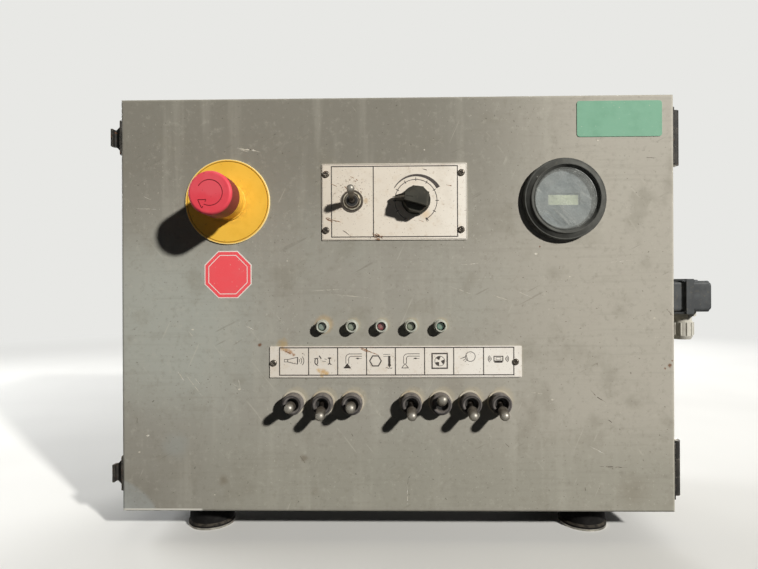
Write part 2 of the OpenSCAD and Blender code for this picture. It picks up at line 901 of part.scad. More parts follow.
// Slender lever, drawn along Z from its pivot, which lies at the origin
module slender_lever() {
  sphere(d = ball_dia);
  rod(neck_dia / 2, 0, toggle_len / 3);
  translate([0, 0, toggle_len / 3 - run])
    cylinder(r1 = neck_dia / 2 + neck_step, r2 = toggle_end / 2, h = toggle_len * 2 / 3 + run);
  translate([0, 0, toggle_len]) sphere(d = toggle_end);
}

// Lever with a thick grip above the neck that leaves the rubber collar
module thick_lever() {
  sphere(d = ball_dia);
  rod(neck_dia / 2, 0, neck_len);
  translate([0, 0, neck_len - run])
    cylinder(d1 = neck_dia + 2 * neck_step, d2 = lever_grip, h = grip_flare + run);
  rod(lever_grip / 2, neck_len + grip_flare, toggle_len - 1);
  translate([0, 0, toggle_len - 1]) sphere(d = lever_grip);
}

module lever_at(u, v, tilt) {
  color([0.72, 0.72, 0.7]) on_face(u, v) translate([0, 0, pivot_h]) rotate([-tilt, 0, 0]) children();
}

module selector_lever() {
  lever_at(selector_u, upper_v, toggle_tilt) slender_lever();
}

module switch_lever(k) {
  lever_at(SWITCHES[k - 1][0] * pitch, switch_v, SWITCHES[k - 1][1] * toggle_tilt) thick_lever();
}

module dial_pot() {
  tags_y = -pot_dia / 2 - pot_tag[1] + over;
  color([0.4, 0.4, 0.4]) on_face(dial_u, upper_v) {
    rotate([180, 0, 0]) rotate_extrude() turned(0, pot_dia / 2, sheet_t, sheet_t + pot_d, 1);
    rod(pot_bushing / 2, -sheet_t - 1, plate_t + pot_bushing_up);
    rod(shaft_dia / 2, 0, knob_h - shaft_short);
    for (k = [-1 : 1])
      translate([k * pot_tag_pitch - pot_tag[0] / 2, tags_y, -sheet_t - pot_tag_back]) cube(pot_tag);
  }
}

// Knob: skirt, body with flats around it, and a raised grip that runs out into the pointer
module dial_knob() {
  low = plate_t + knob_foot;
  r = knob_flats / 2;
  color(black) on_face(dial_u, upper_v) difference() {
    rotate(pointer_dir) {
      rod(r + knob_skirt, low, low + knob_skirt_h);
      difference() {
        translate([0, 0, low]) cylinder(r1 = r + knob_skirt, r2 = r + knob_skirt / 2, h = knob_body);
        for (k = [1 : knob_facets]) rotate(k * 360 / knob_facets)
          translate([r, -r, low + knob_skirt_h]) rotate([0, -knob_lean, 0]) cube([r, 2 * r, knob_h]);
      }
      intersection() {
        translate([0, 0, low]) linear_extrude(knob_h) grip_outline();
        rotate([90, 0, 0]) linear_extrude(2 * r, center = true) grip_side(low);
      }
    }
    rotate(pointer_dir) translate([r / 3, -index_w / 2, knob_h - index_deep]) cube([r / 2, index_w, over]);
    rod(shaft_dia / 2 + run, 0, knob_h - shaft_short + run);
    rod(pot_nut / 2 + 1, 0, low + knob_socket);
  }
}

// The grip seen from the front, with its nose on +X
module grip_outline() {
  polygon([
    [-grip_back[0], -grip_back[1]], [pointer_r - grip_nose / 2, -grip_nose], [pointer_r, 0],
    [pointer_r - grip_nose / 2, grip_nose], [-grip_back[0], grip_back[1]]
  ]);
}

// The grip seen from the side: its top slopes down to the nose
module grip_side(low) {
  polygon([
    [-grip_back[0] - over, low], [-grip_back[0] - over, knob_h - grip_bevel - over],
    [-grip_back[0] + grip_bevel, knob_h], [grip_top, knob_h],
    [pointer_r + over, low + pointer_t - over], [pointer_r + over, low]
  ]);
}

// Rim of the meter: from its edge it rises to a round crest, then falls to the clear cover
module meter_rim() {
  r = meter_dia / 2;
  bore = meter_can_dia / 2 + run;
  seat = meter_lens / 2 + run;
  crest = seat + rim_funnel;
  color([0.17, 0.17, 0.18]) on_face(meter_u, upper_v) rotate_extrude() {
    polygon([
      [bore, 0], [r, 0], [r, rim_lip - rim_edge], [r - rim_edge, rim_lip], [r - 2 * rim_edge, rim_lip],
      [crest + rim_edge, meter_rim_h - rim_edge], [crest - rim_edge, meter_rim_h - rim_edge],
      [seat, meter_lens_h - rim_cup], [seat, meter_floor], [bore, meter_floor]
    ]);
    translate([crest, meter_rim_h - rim_edge]) circle(rim_edge);
  }
}

// Can with its studs, their nuts and the bracket that pulls the rim against the door
module meter_can() {
  r = meter_can_dia / 2;
  bridge = -meter_depth - bracket_t;
  color([0.2, 0.2, 0.2]) on_face(meter_u, upper_v) {
    difference() {
      rod(r, -meter_depth, meter_floor);
      rod(r - can_t, meter_floor - dial_sink - dial_t, meter_floor + over);
    }
    for (x = [-1, 1]) scale([x, 1, 1]) {
      translate([r / 2, 0, 0]) {
        rod(meter_stud / 2, bridge - meter_stud_h, bridge + bracket_t + over);
        hex_nut(meter_nut, meter_stud, bridge - meter_nut / 2, bridge);
      }
      translate([0, -bracket_w / 2, bridge]) cube([r + 2 * bracket_t, bracket_w, bracket_t]);
      translate([r + bracket_t, -bracket_w / 2, bridge])
        cube([bracket_t, bracket_w, -sheet_t - bridge]);
      translate([r + bracket_t, -bracket_w / 2, -sheet_t - bracket_t])
        cube([bracket_foot, bracket_w, bracket_t]);
    }
  }
}

module meter_dial() {
  top = meter_floor - dial_sink;
  color([0.3, 0.31, 0.3]) on_face(meter_u, upper_v) difference() {
    rod(meter_can_dia / 2 - can_t - run, top - dial_t, top);
    translate([0, 0, top - dial_t / 2]) linear_extrude(dial_t) rounded(window_w, window_h, 1);
  }
}

// Clear cover: a cap with a round shoulder
module meter_glass() {
  r = meter_lens / 2;
  color([0.75, 0.78, 0.78, 0.3]) on_face(meter_u, upper_v) rotate_extrude() difference() {
    turned(0, r, meter_floor, meter_lens_h, lens_edge);
    turned(0, r - lens_t, meter_floor - over, meter_lens_h - lens_t, lens_edge - lens_t / 2);
  }
}

module lamp_bezels() {
  r = lamp_dia / 2;
  bore = r - lamp_wall;
  color([0.66, 0.64, 0.58]) at_lamps() {
    tube(r + lamp_flange[0], bore, 0, lamp_flange[1]);
    rotate_extrude() polygon([
      [bore, 0], [r, 0], [r, lamp_h - lamp_lip], [r - lamp_lip, lamp_h],
      [bore + lamp_funnel, lamp_h], [bore, lamp_h - lamp_funnel]
    ]);
  }
}

module lamp_lenses() {
  r = lamp_dia / 2 - lamp_wall - run;
  top = lamp_h - lens_sink;
  color([0.3, 0.6, 0.4]) at_lamps() {
    rod(r, -1, top - lens_bevel);
    translate([0, 0, top - lens_bevel]) cylinder(r1 = r, r2 = r - lens_bevel, h = lens_bevel);
  }
}

module lamp_bodies() {
  r = lamp_dia / 2 - lamp_lip;
  tag_z = -lamp_body_d - lamp_tag[2] + over;
  color([0.2, 0.2, 0.2]) at_lamps() {
    rod(r, -lamp_body_d, -sheet_t - lamp_nut_t);
    rod(r, -sheet_t - lamp_nut_t - over, -1);
    hex_nut(lamp_nut, 2 * r, -sheet_t - lamp_nut_t, -sheet_t);
    for (x = [-1, 1]) translate([(x * r - lamp_tag[0]) / 2, -lamp_tag[1] / 2, tag_z]) cube(lamp_tag);
  }
}

module label_strip() {
  color([0.87, 0.85, 0.79]) on_face(-0.7, strip_v)
    linear_extrude(plate_t) rounded(strip_w, strip_h, plate_corner);
}

// Body, frame, bushing, nut behind the door and screw blades of one lever switch
module switch_body() {
  back = -sheet_t - panel_nut_t;
  blade_low = back - switch_size[2] - blade[2];
  difference() {
    union() {
      rod(bushing_dia / 2, back - 1, bushing_h - 1);
      hex_nut(panel_nut, bushing_dia, back, -sheet_t);
      translate([0, 0, back - frame_t]) linear_extrude(frame_t) rounded(switch_size[0], switch_size[1], 1);
      translate([0, 0, back - switch_size[2]]) linear_extrude(switch_size[2] - 1)
        rounded(switch_size[0] - 1, switch_size[1] - 1, switch_edge);
      for (y = [-1 : 1]) translate([-blade[0] / 2, y * blade_pitch - blade[1] / 2, blade_low])
        cube([blade[0], blade[1], blade[2] + over]);
    }
    rod(ball_dia / 2 + run, pivot_h - ball_dia / 2 - hole_gap, bushing_h);
  }
}

module switch_bodies() {
  color([0.15, 0.15, 0.2]) {
    at_switches() switch_body();
    on_face(selector_u, upper_v) switch_body();
  }
}

module switch_washers() {
  color([0.78, 0.77, 0.74]) at_switches()
    tube(boot_dia / 2 + boot_seat, bushing_dia / 2 + run, 0, washer_ring_t);
}

// Rubber collar: round beads around its side, a full crown and a funnel down to the bushing
module switch_boots() {
  r = boot_dia / 2;
  bore = bushing_dia / 2 + run;
  body = r - boot_bead;
  side = boot_h - boot_crown - washer_ring_t;
  crown_in = boot_hole / 2 + boot_crown / 2;
  color([0.27, 0.26, 0.26]) at_switches() rotate_extrude() {
    polygon([
      [bore, washer_ring_t], [body, washer_ring_t], [body, boot_h - boot_crown],
      [r - boot_crown, boot_h], [crown_in, boot_h], [boot_hole / 2, boot_h - boot_crown / 2],
      [boot_hole / 2, boot_h - 2 * boot_crown], [bore, bushing_h - over]
    ]);
    translate([r - boot_crown, boot_h - boot_crown]) circle(boot_crown);
    translate([crown_in, boot_h - boot_crown / 2]) circle(boot_crown / 2);
    for (k = [0 : boot_beads - 1])
      translate([body, washer_ring_t + boot_bead + k * side / boot_beads]) circle(boot_bead);
  }
}

module mounting_plate() {
  color([0.75, 0.7, 0.5]) along_y(plate_y - sheet_t, plate_y)
    rounded(box_w - 2 * plate_margin, box_h - 2 * plate_margin, 4);
}

module standoffs() {
  color(zinc) along_y(plate_y, body_back - sheet_t) for (x = [-1, 1], z = [-1, 1])
    translate([x * (half_w - plate_margin - standoff_in), z * (half_h - plate_margin - standoff_in)])
      circle(d = standoff_dia);
}

// Half of the rail's top-hat section: Y from the plate, Z from the rail's middle
function rail_half() = [
  [0, 0], [0, rail_top / 2], [-rail_h + rail_t, rail_top / 2], [-rail_h + rail_t, rail_w / 2],
  [-rail_h, rail_w / 2], [-rail_h, rail_top / 2 - rail_t], [-rail_t, rail_top / 2 - rail_t], [-rail_t, 0]
];

module din_rail() {
  color(rail_paint) for (s = [-1, 1]) translate([0, rail_y, mid_z + s * rail_z])
    along_x(-rail_len / 2, rail_len / 2) for (half = [0, 1]) mirror([0, half]) polygon(rail_half());
}

module terminal_row() {
  len = terminals * terminal_pitch;
  hole = [terminal_h * terminal_hole[0], terminal_w * terminal_hole[1]];
  color([0.3, 0.3, 0.32]) translate([-len / 2, rail_y - rail_h, mid_z - rail_z]) {
    difference() {
      along_x(0, len) terminal_outline();
      for (k = [1 : terminals - 1])
        translate([k * terminal_pitch - terminal_gap / 2, -terminal_h - over, -terminal_w])
          cube([terminal_gap, terminal_h - terminal_base + over, 2 * terminal_w]);
      for (k = [0 : terminals - 1], s = [-1, 1])
        translate([(k + 0.5) * terminal_pitch, -hole[0], s * hole[1]]) rotate([90, 0, 0])
          cylinder(d = terminal_screw, h = terminal_h);
    }
    for (x = [-terminal_end_t, len]) along_x(x, x + terminal_end_t)
      translate([-terminal_h * terminal_end[0] / 2, 0])
        square([terminal_h * terminal_end[0], terminal_w * terminal_end[1]], center = true);
  }
}

module terminal_outline() {
  for (s = [-1, 1]) polygon(concat(
    [[0, 0]], [for (p = TERMINAL_STEPS) [-terminal_h * p[0], s * terminal_w / 2 * p[1]]], [[-terminal_h, 0]]
  ));
}

// Sockets with their screws' recesses, each with a plugged-in relay
module relays() {
  first = -(relays_n - 1) / 2 * relay_pitch;
  screw_z = relay_base[2] / 2 - relay_screw_in;
  color([0.45, 0.47, 0.5]) for (k = [0 : relays_n - 1])
    translate([first + k * relay_pitch, rail_y - rail_h, mid_z + rail_z]) {
      difference() {
        translate([-relay_base[0] / 2, -relay_base[1], -relay_base[2] / 2]) cube(relay_base);
        for (x = [-1 : 1], z = [-1, 1])
          translate([x * relay_base[0] / 3, -relay_base[1] / 2, z * screw_z]) rotate([90, 0, 0])
            cylinder(d = relay_screw, h = relay_base[1]);
      }
      translate([0, -relay_base[1] + over, 0]) rotate([90, 0, 0])
        linear_extrude(relay_size[1]) rounded(relay_size[0], relay_size[2], relay_corner);
    }
}

// Connector on the right wall: X is depth from front to back, Y is up and Z is out of the wall
module at_connector() {
  translate([half_w, body_front + conn_y, mid_z + conn_v]) rotate([0, 90, 0]) rotate(90) children();
}

module connector_base() {
  color([0.4, 0.41, 0.42]) at_connector() {
    difference() {
      union() {
        linear_extrude(conn_flange)
          rounded(conn_len + 2 * conn_ears, conn_w + conn_flange_over, conn_corner - 1);
        linear_extrude(conn_base) rounded(conn_len, conn_w, conn_corner);
      }
      translate([0, 0, conn_floor]) linear_extrude(conn_base)
        rounded(conn_len - 2 * conn_wall, conn_w - 2 * conn_wall, conn_corner - 1);
    }
    for (e = [-1, 1]) scale([e, 1, 1]) locking_lever();
  }
}

// Clip at one end of the housing: two arms that hook over pins, joined by a grip
module locking_lever() {
  pin_x = conn_len / 2 - lock_w;
  grip_x = conn_len / 2 + lock_tail;
  low = conn_base - lock_w;
  top = conn_base + lock_w;
  for (s = [-1, 1]) translate([0, s * (conn_w / 2 + lock_t / 2), 0]) rotate([90, 0, 0])
    translate([0, 0, -lock_t / 2]) linear_extrude(lock_t) {
      translate([pin_x, low]) circle(d = lock_w);
      polygon([
        [pin_x - lock_tail, low], [pin_x + lock_w / 2, low], [grip_x + lock_t, top],
        [grip_x, top], [pin_x - lock_tail, conn_base + lock_tail]
      ]);
    }
  translate([grip_x, -conn_w / 2 - lock_t, top - lock_low]) cube([lock_t, conn_w + 2 * lock_t, lock_grip]);
}

// Hood: corners rounded, ribs on one long side and the plug that reaches into the base
module connector_hood() {
  plug = [conn_len, conn_w] - 2 * [conn_wall + plug_gap, conn_wall + plug_gap];
  tall = conn_out - conn_base - hood_step[0];
  color([0.33, 0.34, 0.35]) at_connector() {
    translate([0, 0, conn_base + run]) linear_extrude(tall) rounded(conn_len, conn_w, conn_corner);
    translate([0, 0, conn_out - hood_step[1]]) linear_extrude(hood_step[1])
      rounded(conn_len - hood_step[1], conn_w - hood_step[1], conn_corner);
    translate([0, 0, conn_base - conn_plug]) linear_extrude(conn_plug + over)
      rounded(plug[0], plug[1], conn_corner - 1);
    for (k = [-1 : 1]) translate([k * rib_pitch, conn_w / 2, conn_out - hood_rib_in]) rotate([0, 90, 0])
      linear_extrude(hood_rib[2], center = true) hood_rib_outline();
  }
}

module hood_rib_outline() {
  half = hood_rib[0] / 2;
  high = hood_rib[1];
  polygon([[-half, -high], [-half, 0], [high - half, high], [half - high, high], [half, 0], [half, -high]]);
}

module connector_gland() {
  r = gland_dia / 2;
  cap = 2 * gland_hex_h;
  color([0.75, 0.74, 0.7]) at_connector()
    translate([0, -conn_w / 2, (conn_base + conn_out) / 2]) rotate([90, 0, 0]) difference() {
      union() {
        cylinder(d = gland_dia / cos(30), h = gland_hex_h, $fn = 6);
        rod(r - gland_neck, gland_hex_h - over, cap + over);
        rod(r - gland_rib, cap, gland_len);
        for (k = [1 : gland_ribs]) rotate(k * 360 / gland_ribs) translate([r - gland_rib, 0, 0])
          rod(gland_rib, cap + gland_rib, gland_len - gland_rib);
        translate([0, 0, gland_len])
          cylinder(r1 = r - gland_rib, r2 = r - gland_rib - gland_taper / 2, h = gland_taper);
      }
      rod(gland_bore / 2, gland_floor, gland_len + gland_taper + over);
    }
}

back_wall();
left_wall();
right_wall();
top_wall();
bottom_wall();
foot_rubbers();
foot_discs();
foot_studs();
foot_nuts();
hinge_leaves_box();
hinge_leaves_door();
hinge_pins();
door_pan();
door_seal();
latch_keepers();
latch_bases();
color(black) at_latch(1) latch_lever();  // latch_lever_upper
color(black) at_latch(-1) latch_lever();  // latch_lever_lower
color(zinc) at_latch(1) latch_bail();  // latch_bail_upper
color(zinc) at_latch(-1) latch_bail();  // latch_bail_lower
estop_plate();
estop_collar();
estop_block();
estop_stem();
estop_head();
selector_plate();
selector_nut();
selector_lever();
dial_pot();
dial_knob();
meter_rim();
meter_can();
meter_dial();
meter_glass();
lamp_bezels();
lamp_lenses();
lamp_bodies();
label_strip();
switch_bodies();
switch_washers();
switch_boots();
switch_lever(1);  // switch_lever_1
switch_lever(2);  // switch_lever_2
switch_lever(3);  // switch_lever_3
switch_lever(4);  // switch_lever_4
switch_lever(5);  // switch_lever_5
switch_lever(6);  // switch_lever_6
switch_lever(7);  // switch_lever_7
mounting_plate();
standoffs();
din_rail();
terminal_row();
relays();
connector_base();
connector_hood();
connector_gland();
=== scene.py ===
"""Looks of the control box: materials of the carried-over nodes, and the pieces that ride on them."""
import math

import bmesh
import bpy
from mathutils import Matrix, Vector


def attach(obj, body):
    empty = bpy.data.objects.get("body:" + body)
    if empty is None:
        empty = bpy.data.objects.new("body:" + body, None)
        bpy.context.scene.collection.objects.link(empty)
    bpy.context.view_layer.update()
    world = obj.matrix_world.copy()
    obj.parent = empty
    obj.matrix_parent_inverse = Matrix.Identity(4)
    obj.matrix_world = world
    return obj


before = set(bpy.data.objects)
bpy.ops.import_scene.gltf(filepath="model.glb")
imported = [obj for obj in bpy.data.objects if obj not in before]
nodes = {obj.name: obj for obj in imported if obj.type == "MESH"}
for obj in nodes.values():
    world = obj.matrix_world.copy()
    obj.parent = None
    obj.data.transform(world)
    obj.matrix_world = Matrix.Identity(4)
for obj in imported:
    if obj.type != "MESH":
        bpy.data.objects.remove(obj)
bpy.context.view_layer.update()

MM = 0.001

# The door's face, in metres: its plane, the height of its middle, half its width and half its height
FACE_Y, MID_Z = -0.109, 0.2405
HALF_W, HALF_H = 0.283, 0.2125
# Hinges and latches: metres above and below the middle
HINGE_Z, LATCH_Z = 0.172, 0.174
# Controls: millimetres right (u) and up (v) from the middle of the face
STOP_U, SELECTOR_U, DIAL_U, METER_U, UPPER_V = -172, -44, 21, 171.1, 106
SWITCHES, SWITCH_V = [-105, -75, -45, 15, 45, 75, 105], -100
LAMPS, LAMP_V = [-75, -45, -15, 15, 45], -22
PITCH = 0.03
# Heights over the face in millimetres: top of the two cream plates, print on them, marks on the paint
PLATE_H = 1.2
ON_PLATE = PLATE_H + 0.03
ON_PAINT = 0.03
# Specular level of matt paint and rubber
DULL = 0.06


def srgb(r, g, b):
    """Colour written as 0 to 255, as the linear values that Blender takes."""
    def linear(c):
        c /= 255
        return c / 12.92 if c <= 0.04045 else ((c + 0.055) / 1.055) ** 2.4
    return linear(r), linear(g), linear(b), 1.0


def on_face(u, v, h=0.0):
    """Point of the door's face in millimetres: right, up and out, as metres in the frame."""
    return Vector((u * MM, FACE_Y - h * MM, MID_Z + v * MM))


class Look:
    """One material. Its nodes work on the object's own coordinates, in metres."""

    def __init__(self, name, color, rough=0.5, metal=0.0, **sockets):
        self.mat = bpy.data.materials.new(name)
        self.mat.use_nodes = True
        self.tree = self.mat.node_tree
        self.shader = self.tree.nodes["Principled BSDF"]
        coords = self.tree.nodes.new("ShaderNodeTexCoord")
        self.at, self.facing = coords.outputs["Object"], coords.outputs["Normal"]
        self.color = srgb(*color)
        self.shader.inputs["Base Color"].default_value = self.color
        self.rough = rough
        self.shader.inputs["Roughness"].default_value = rough
        self.shader.inputs["Metallic"].default_value = metal
        for key, value in sockets.items():
            self.shader.inputs[key.replace("_", " ")].default_value = value
        self.height = None

    def put(self, kind, inputs, out=0, **settings):
        """Adds a node with sockets or values on its inputs, and gives one of its outputs."""
        node = self.tree.nodes.new("ShaderNode" + kind)
        for key, value in settings.items():
            setattr(node, key, value)
        for key, value in inputs.items():
            if isinstance(value, bpy.types.NodeSocket):
                self.tree.links.new(value, node.inputs[key])
            else:
                node.inputs[key].default_value = value
        return node.outputs[out]

    def math(self, operation, a, b=0.0, clamp=False):
        return self.put("Math", {0: a, 1: b}, operation=operation, use_clamp=clamp)

    def span(self, value, low, high, to_low=0.0, to_high=1.0):
        """Smooth step from to_low at low to to_high at high."""
        return self.put("MapRange", {0: value, 1: low, 2: high, 3: to_low, 4: to_high},
                        interpolation_type="SMOOTHSTEP")

    def noise(self, scale, detail=3.0, stretch=None, shift=0.0, rough=0.55, turn=0.0):
        """Noise with the given number of features a metre; turn is about the y axis."""
        vector = self.at
        if turn:
            vector = self.put("Mapping", {0: vector, 2: (0, turn, 0)})
        if stretch or shift:
            vector = self.put("Mapping", {0: vector, 1: (shift, shift, shift), 3: stretch or (1, 1, 1)})
        return self.put("TexNoise", {"Vector": vector, "Scale": scale, "Detail": detail, "Roughness": rough})

    def axis(self, k, of=None):
        return self.put("SeparateXYZ", {0: of or self.at}, out=k)

    def near(self, point, inner, outer, wobble=0.0, scale=200.0):
        """1 within inner metres of a point and 0 beyond outer, with a ragged edge."""
        gap = self.put("VectorMath", {0: self.at, 1: point}, out="Value", operation="DISTANCE")
        if wobble:
            gap = self.math("ADD", gap, self.math("MULTIPLY", self.noise(scale), wobble))
            inner, outer = inner + wobble / 2, outer + wobble / 2
        return self.span(gap, inner, outer, 1.0, 0.0)

    def from_axis(self, v, u=None):
        """Distance from the axis at u and v, or from the nearest of the controls one pitch apart at height v."""
        x, z = self.axis(0), self.axis(2)
        across = self.math("FLOORED_MODULO", x, PITCH) if u is None else x
        across = self.math("SUBTRACT", across, PITCH / 2 if u is None else u * MM)
        up = self.math("SUBTRACT", z, MID_Z + v * MM)
        squares = [self.math("MULTIPLY", side, side) for side in (across, up)]
        return self.math("SQRT", self.math("ADD", *squares))

    def between(self, value, low, high):
        """1 where a value in metres lies between two in millimetres."""
        above, below = self.math("GREATER_THAN", value, low * MM), self.math("LESS_THAN", value, high * MM)
        return self.math("MULTIPLY", above, below)

    def off(self, value, middle):
        """How far a value is from the middle, without its sign."""
        return self.math("ABSOLUTE", self.math("SUBTRACT", value, middle))

    def paint(self, mask, color, amount=1.0):
        """Lays a colour over what is there where the mask is 1."""
        if amount != 1.0:
            mask = self.math("MULTIPLY", mask, amount)
        color = color if isinstance(color, bpy.types.NodeSocket) else srgb(*color)
        self.color = self.put("Mix", {0: mask, 6: self.color, 7: color}, out=2, data_type="RGBA")
        self.tree.links.new(self.color, self.shader.inputs["Base Color"])

    def patches(self, scale, detail, low, high, color, amount=1.0, **noise):
        """Lays a colour over in patches, where noise passes from low to high."""
        self.paint(self.span(self.noise(scale, detail, **noise), low, high), color, amount)

    def spot(self, point, inner, outer, wobble, scale, color, amount=1.0):
        """Lays a colour over near a point."""
        self.paint(self.near(point, inner, outer, wobble, scale), color, amount)

    def gloss(self, mask, value):
        """Changes the roughness to value where the mask is 1."""
        self.rough = self.put("Mix", {0: mask, 2: self.rough, 3: value})
        self.tree.links.new(self.rough, self.shader.inputs["Roughness"])

    def metal(self, mask):
        self.tree.links.new(mask, self.shader.inputs["Metallic"])

    def bump(self, height, depth, strength=1.0):
        """Adds relief of the given depth in metres."""
        height = self.math("MULTIPLY", height, depth)
        self.height = height if self.height is None else self.math("ADD", self.height, height)
        normal = self.put("Bump", {"Height": self.height, "Distance": 1.0, "Strength": strength})
        self.tree.links.new(normal, self.shader.inputs["Normal"])

    def grain(self, mask, rough, scale, depth, strength, detail=2):
        """Last layer: another roughness where the mask is 1, and fine relief."""
        self.gloss(mask, rough)
        self.bump(self.noise(scale, detail), depth, strength)
        return self

    def surface(self, shader):
        """Puts another shader in the Principled one's place."""
        out = next(n for n in self.tree.nodes if n.type == "OUTPUT_MATERIAL")
        self.tree.links.new(shader, out.inputs["Surface"])

    def edges(self, radius, low=0.02, high=0.2):
        """1 along convex and concave edges."""
        round_normal = self.put("Bevel", {"Radius": radius}, samples=4)
        flat = self.put("NewGeometry", {}, out="Normal")
        dot = self.put("VectorMath", {0: round_normal, 1: flat}, out="Value", operation="DOT_PRODUCT")
        return self.span(self.math("SUBTRACT", 1.0, dot), low, high)

    def worn(self, mask, scale=300.0, low=0.35, high=0.6):
        """Breaks a mask up with noise."""
        return self.math("MULTIPLY", mask, self.span(self.noise(scale), low, high))

    def dust(self, color, amount=0.5):
        """Settles on faces that look up."""
        up = self.span(self.axis(2, self.facing), 0.1, 0.9)
        ragged = self.span(self.noise(160, 4), 0.3, 0.65)
        self.paint(self.math("MULTIPLY", up, ragged), color, amount)


# Meshes


class Soup:
    """Collects faces that become one piece."""

    def __init__(self):
        self.verts, self.faces = [], []

    def add(self, verts, faces):
        start = len(self.verts)
        self.verts += [Vector(v) for v in verts]
        self.faces += [tuple(start + k for k in f) for f in faces]

    def polygon(self, points, place):
        """Flat face; place turns u and v into a point."""
        self.add([place(u, v) for u, v in points], [tuple(range(len(points)))])

    def line(self, points, width, place, closed=False):
        """Printed line of the given width through points; width may be a list."""
        pts = [Vector(p) for p in points]
        count = len(pts)
        widths = width if isinstance(width, list) else [width] * count
        left, right = [], []
        for k, p in enumerate(pts):
            before = pts[k - 1] if k or closed else None
            after = pts[(k + 1) % count] if k < count - 1 or closed else None
            d1 = (p - before).normalized() if before is not None else None
            d2 = (after - p).normalized() if after is not None else None
            d = ((d1 or d2) + (d2 or d1)).normalized()
            n = Vector((-d.y, d.x))
            reach = widths[k] / 2 / max(0.35, n.dot(Vector((-(d1 or d2).y, (d1 or d2).x))))
            left.append(p + n * reach)
            right.append(p - n * reach)
        verts = [place(*q) for q in left + right]
        faces = []
        for k in range(count if closed else count - 1):
            j = (k + 1) % count
            faces.append((k, count + k, count + j, j))
        self.add(verts, faces)

    def extruded(self, points, low, high, place, edge=0.0):
        """Prism with a chamfered top edge; place takes u, v and height."""
        count = len(points)
        middle = Vector((sum(p[0] for p in points) / count, sum(p[1] for p in points) / count))
        inner = []
        for k in range(count):
            p, a, b = Vector(points[k]), Vector(points[k - 1]), Vector(points[(k + 1) % count])
            d1, d2 = (p - a).normalized(), (b - p).normalized()
            n = Vector((-(d1 + d2).y, (d1 + d2).x)).normalized()
            inner.append(p + n * edge / max(0.4, n.dot(Vector((-d1.y, d1.x)))))
        if edge and (inner[0] - middle).length > (Vector(points[0]) - middle).length:
            inner = [Vector(p) * 2 - q for p, q in zip(map(Vector, points), inner)]
        verts = [place(u, v, low) for u, v in points] + [place(u, v, high - edge) for u, v in points]
        verts += [place(u, v, high) for u, v in inner]
        faces = []
        for ring in (0, count):
            for k in range(count):
                j = (k + 1) % count
                faces.append((ring + k, ring + j, ring + count + j, ring + count + k))
        faces.append(tuple(2 * count + k for k in range(count)))
        faces.append(tuple(reversed(range(count))))
        self.add(verts, faces)

    def block(self, xs, ys, zs):
        """Rectangular block between two values on each axis."""
        self.add([(x, y, z) for x in xs for y in ys for z in zs],
                 [(0, 1, 3, 2), (4, 6, 7, 5), (0, 4, 5, 1), (2, 3, 7, 6), (0, 2, 6, 4), (1, 5, 7, 3)])

    def loft(self, start, end):
        """Solid between two outlines with the same number of points."""
        n = len(start)
        sides = [(k, (k + 1) % n, n + (k + 1) % n, n + k) for k in range(n)]
        self.add(start + end, sides + [tuple(range(n)), tuple(range(2 * n - 1, n - 1, -1))])

    def make(self, name, look, body, smooth=False):
        """Makes the piece, lets it ride on a body and turns its faces outward."""
        mesh = bpy.data.meshes.new(name)
        mesh.from_pydata([tuple(v) for v in self.verts], [], self.faces)
        mesh.validate()
        mesh.update()
        for poly in mesh.polygons:
            poly.use_smooth = smooth
        obj = bpy.data.objects.new(name, mesh)
        bpy.context.scene.collection.objects.link(obj)
        mesh.materials.append(look.mat)
        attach(obj, body)
        work = bmesh.new()
        work.from_mesh(mesh)
        bmesh.ops.recalc_face_normals(work, faces=work.faces)
        work.to_mesh(mesh)
        work.free()


def polar(cx, cy, r, degrees, ry=None):
    a = math.radians(degrees)
    return cx + r * math.cos(a), cy + (ry or r) * math.sin(a)


def arc(cx, cy, r, start, end, count=24, ry=None):
    return [polar(cx, cy, r, start + (end - start) * k / count, ry) for k in range(count + 1)]


def rect(left, low, right, high):
    return [(left, low), (right, low), (right, high), (left, high)]


def round_rect(cx, cy, w, h, r, count=6):
    points = []
    for k, (sx, sy) in enumerate([(1, 1), (-1, 1), (-1, -1), (1, -1)]):
        points += arc(cx + sx * (w / 2 - r), cy + sy * (h / 2 - r), r, 90 * k, 90 * k + 90, count)
    return points


def screw(soup, centre, normal, up, radius, height, turn=20.0, dome=0.55):
    """Pan head with a cross recess, as a polar grid whose points sink where the cross is."""
    normal, up = Vector(normal).normalized(), Vector(up).normalized()
    side = up.cross(normal)
    rings, sectors = 14, 48
    rim = 0.9  # share of the rings on the dome; the others drop to the surface
    cross_wide, cross_long, cross_deep = 0.16 * radius, 0.62, 0.75 * height
    verts, faces = [], []
    for i in range(rings + 1):
        t = i / rings
        for k in range(sectors):
            a = 2 * math.pi * k / sectors + math.radians(turn)
            b = a - math.radians(turn)
            r = radius * min(1.0, t * 1.12)
            z = height * (1 - dome * (r / radius) ** 4) if t < rim else height * (1 - dome) * (1 - t) / (1 - rim)
            across = min(abs(r * math.sin(b)), abs(r * math.cos(b)))
            if across < cross_wide and r < radius * cross_long:
                z -= cross_deep * min(1.0, (cross_long - r / radius) * 5)
            x, y = r * math.cos(a), r * math.sin(a)
            verts.append(Vector(centre) + (side * x + up * y + normal * z) * MM)
    for i in range(rings):
        for k in range(sectors):
            j = (k + 1) % sectors
            faces.append((i * sectors + k, i * sectors + j, (i + 1) * sectors + j, (i + 1) * sectors + k))
    soup.add(verts, faces)


# Materials

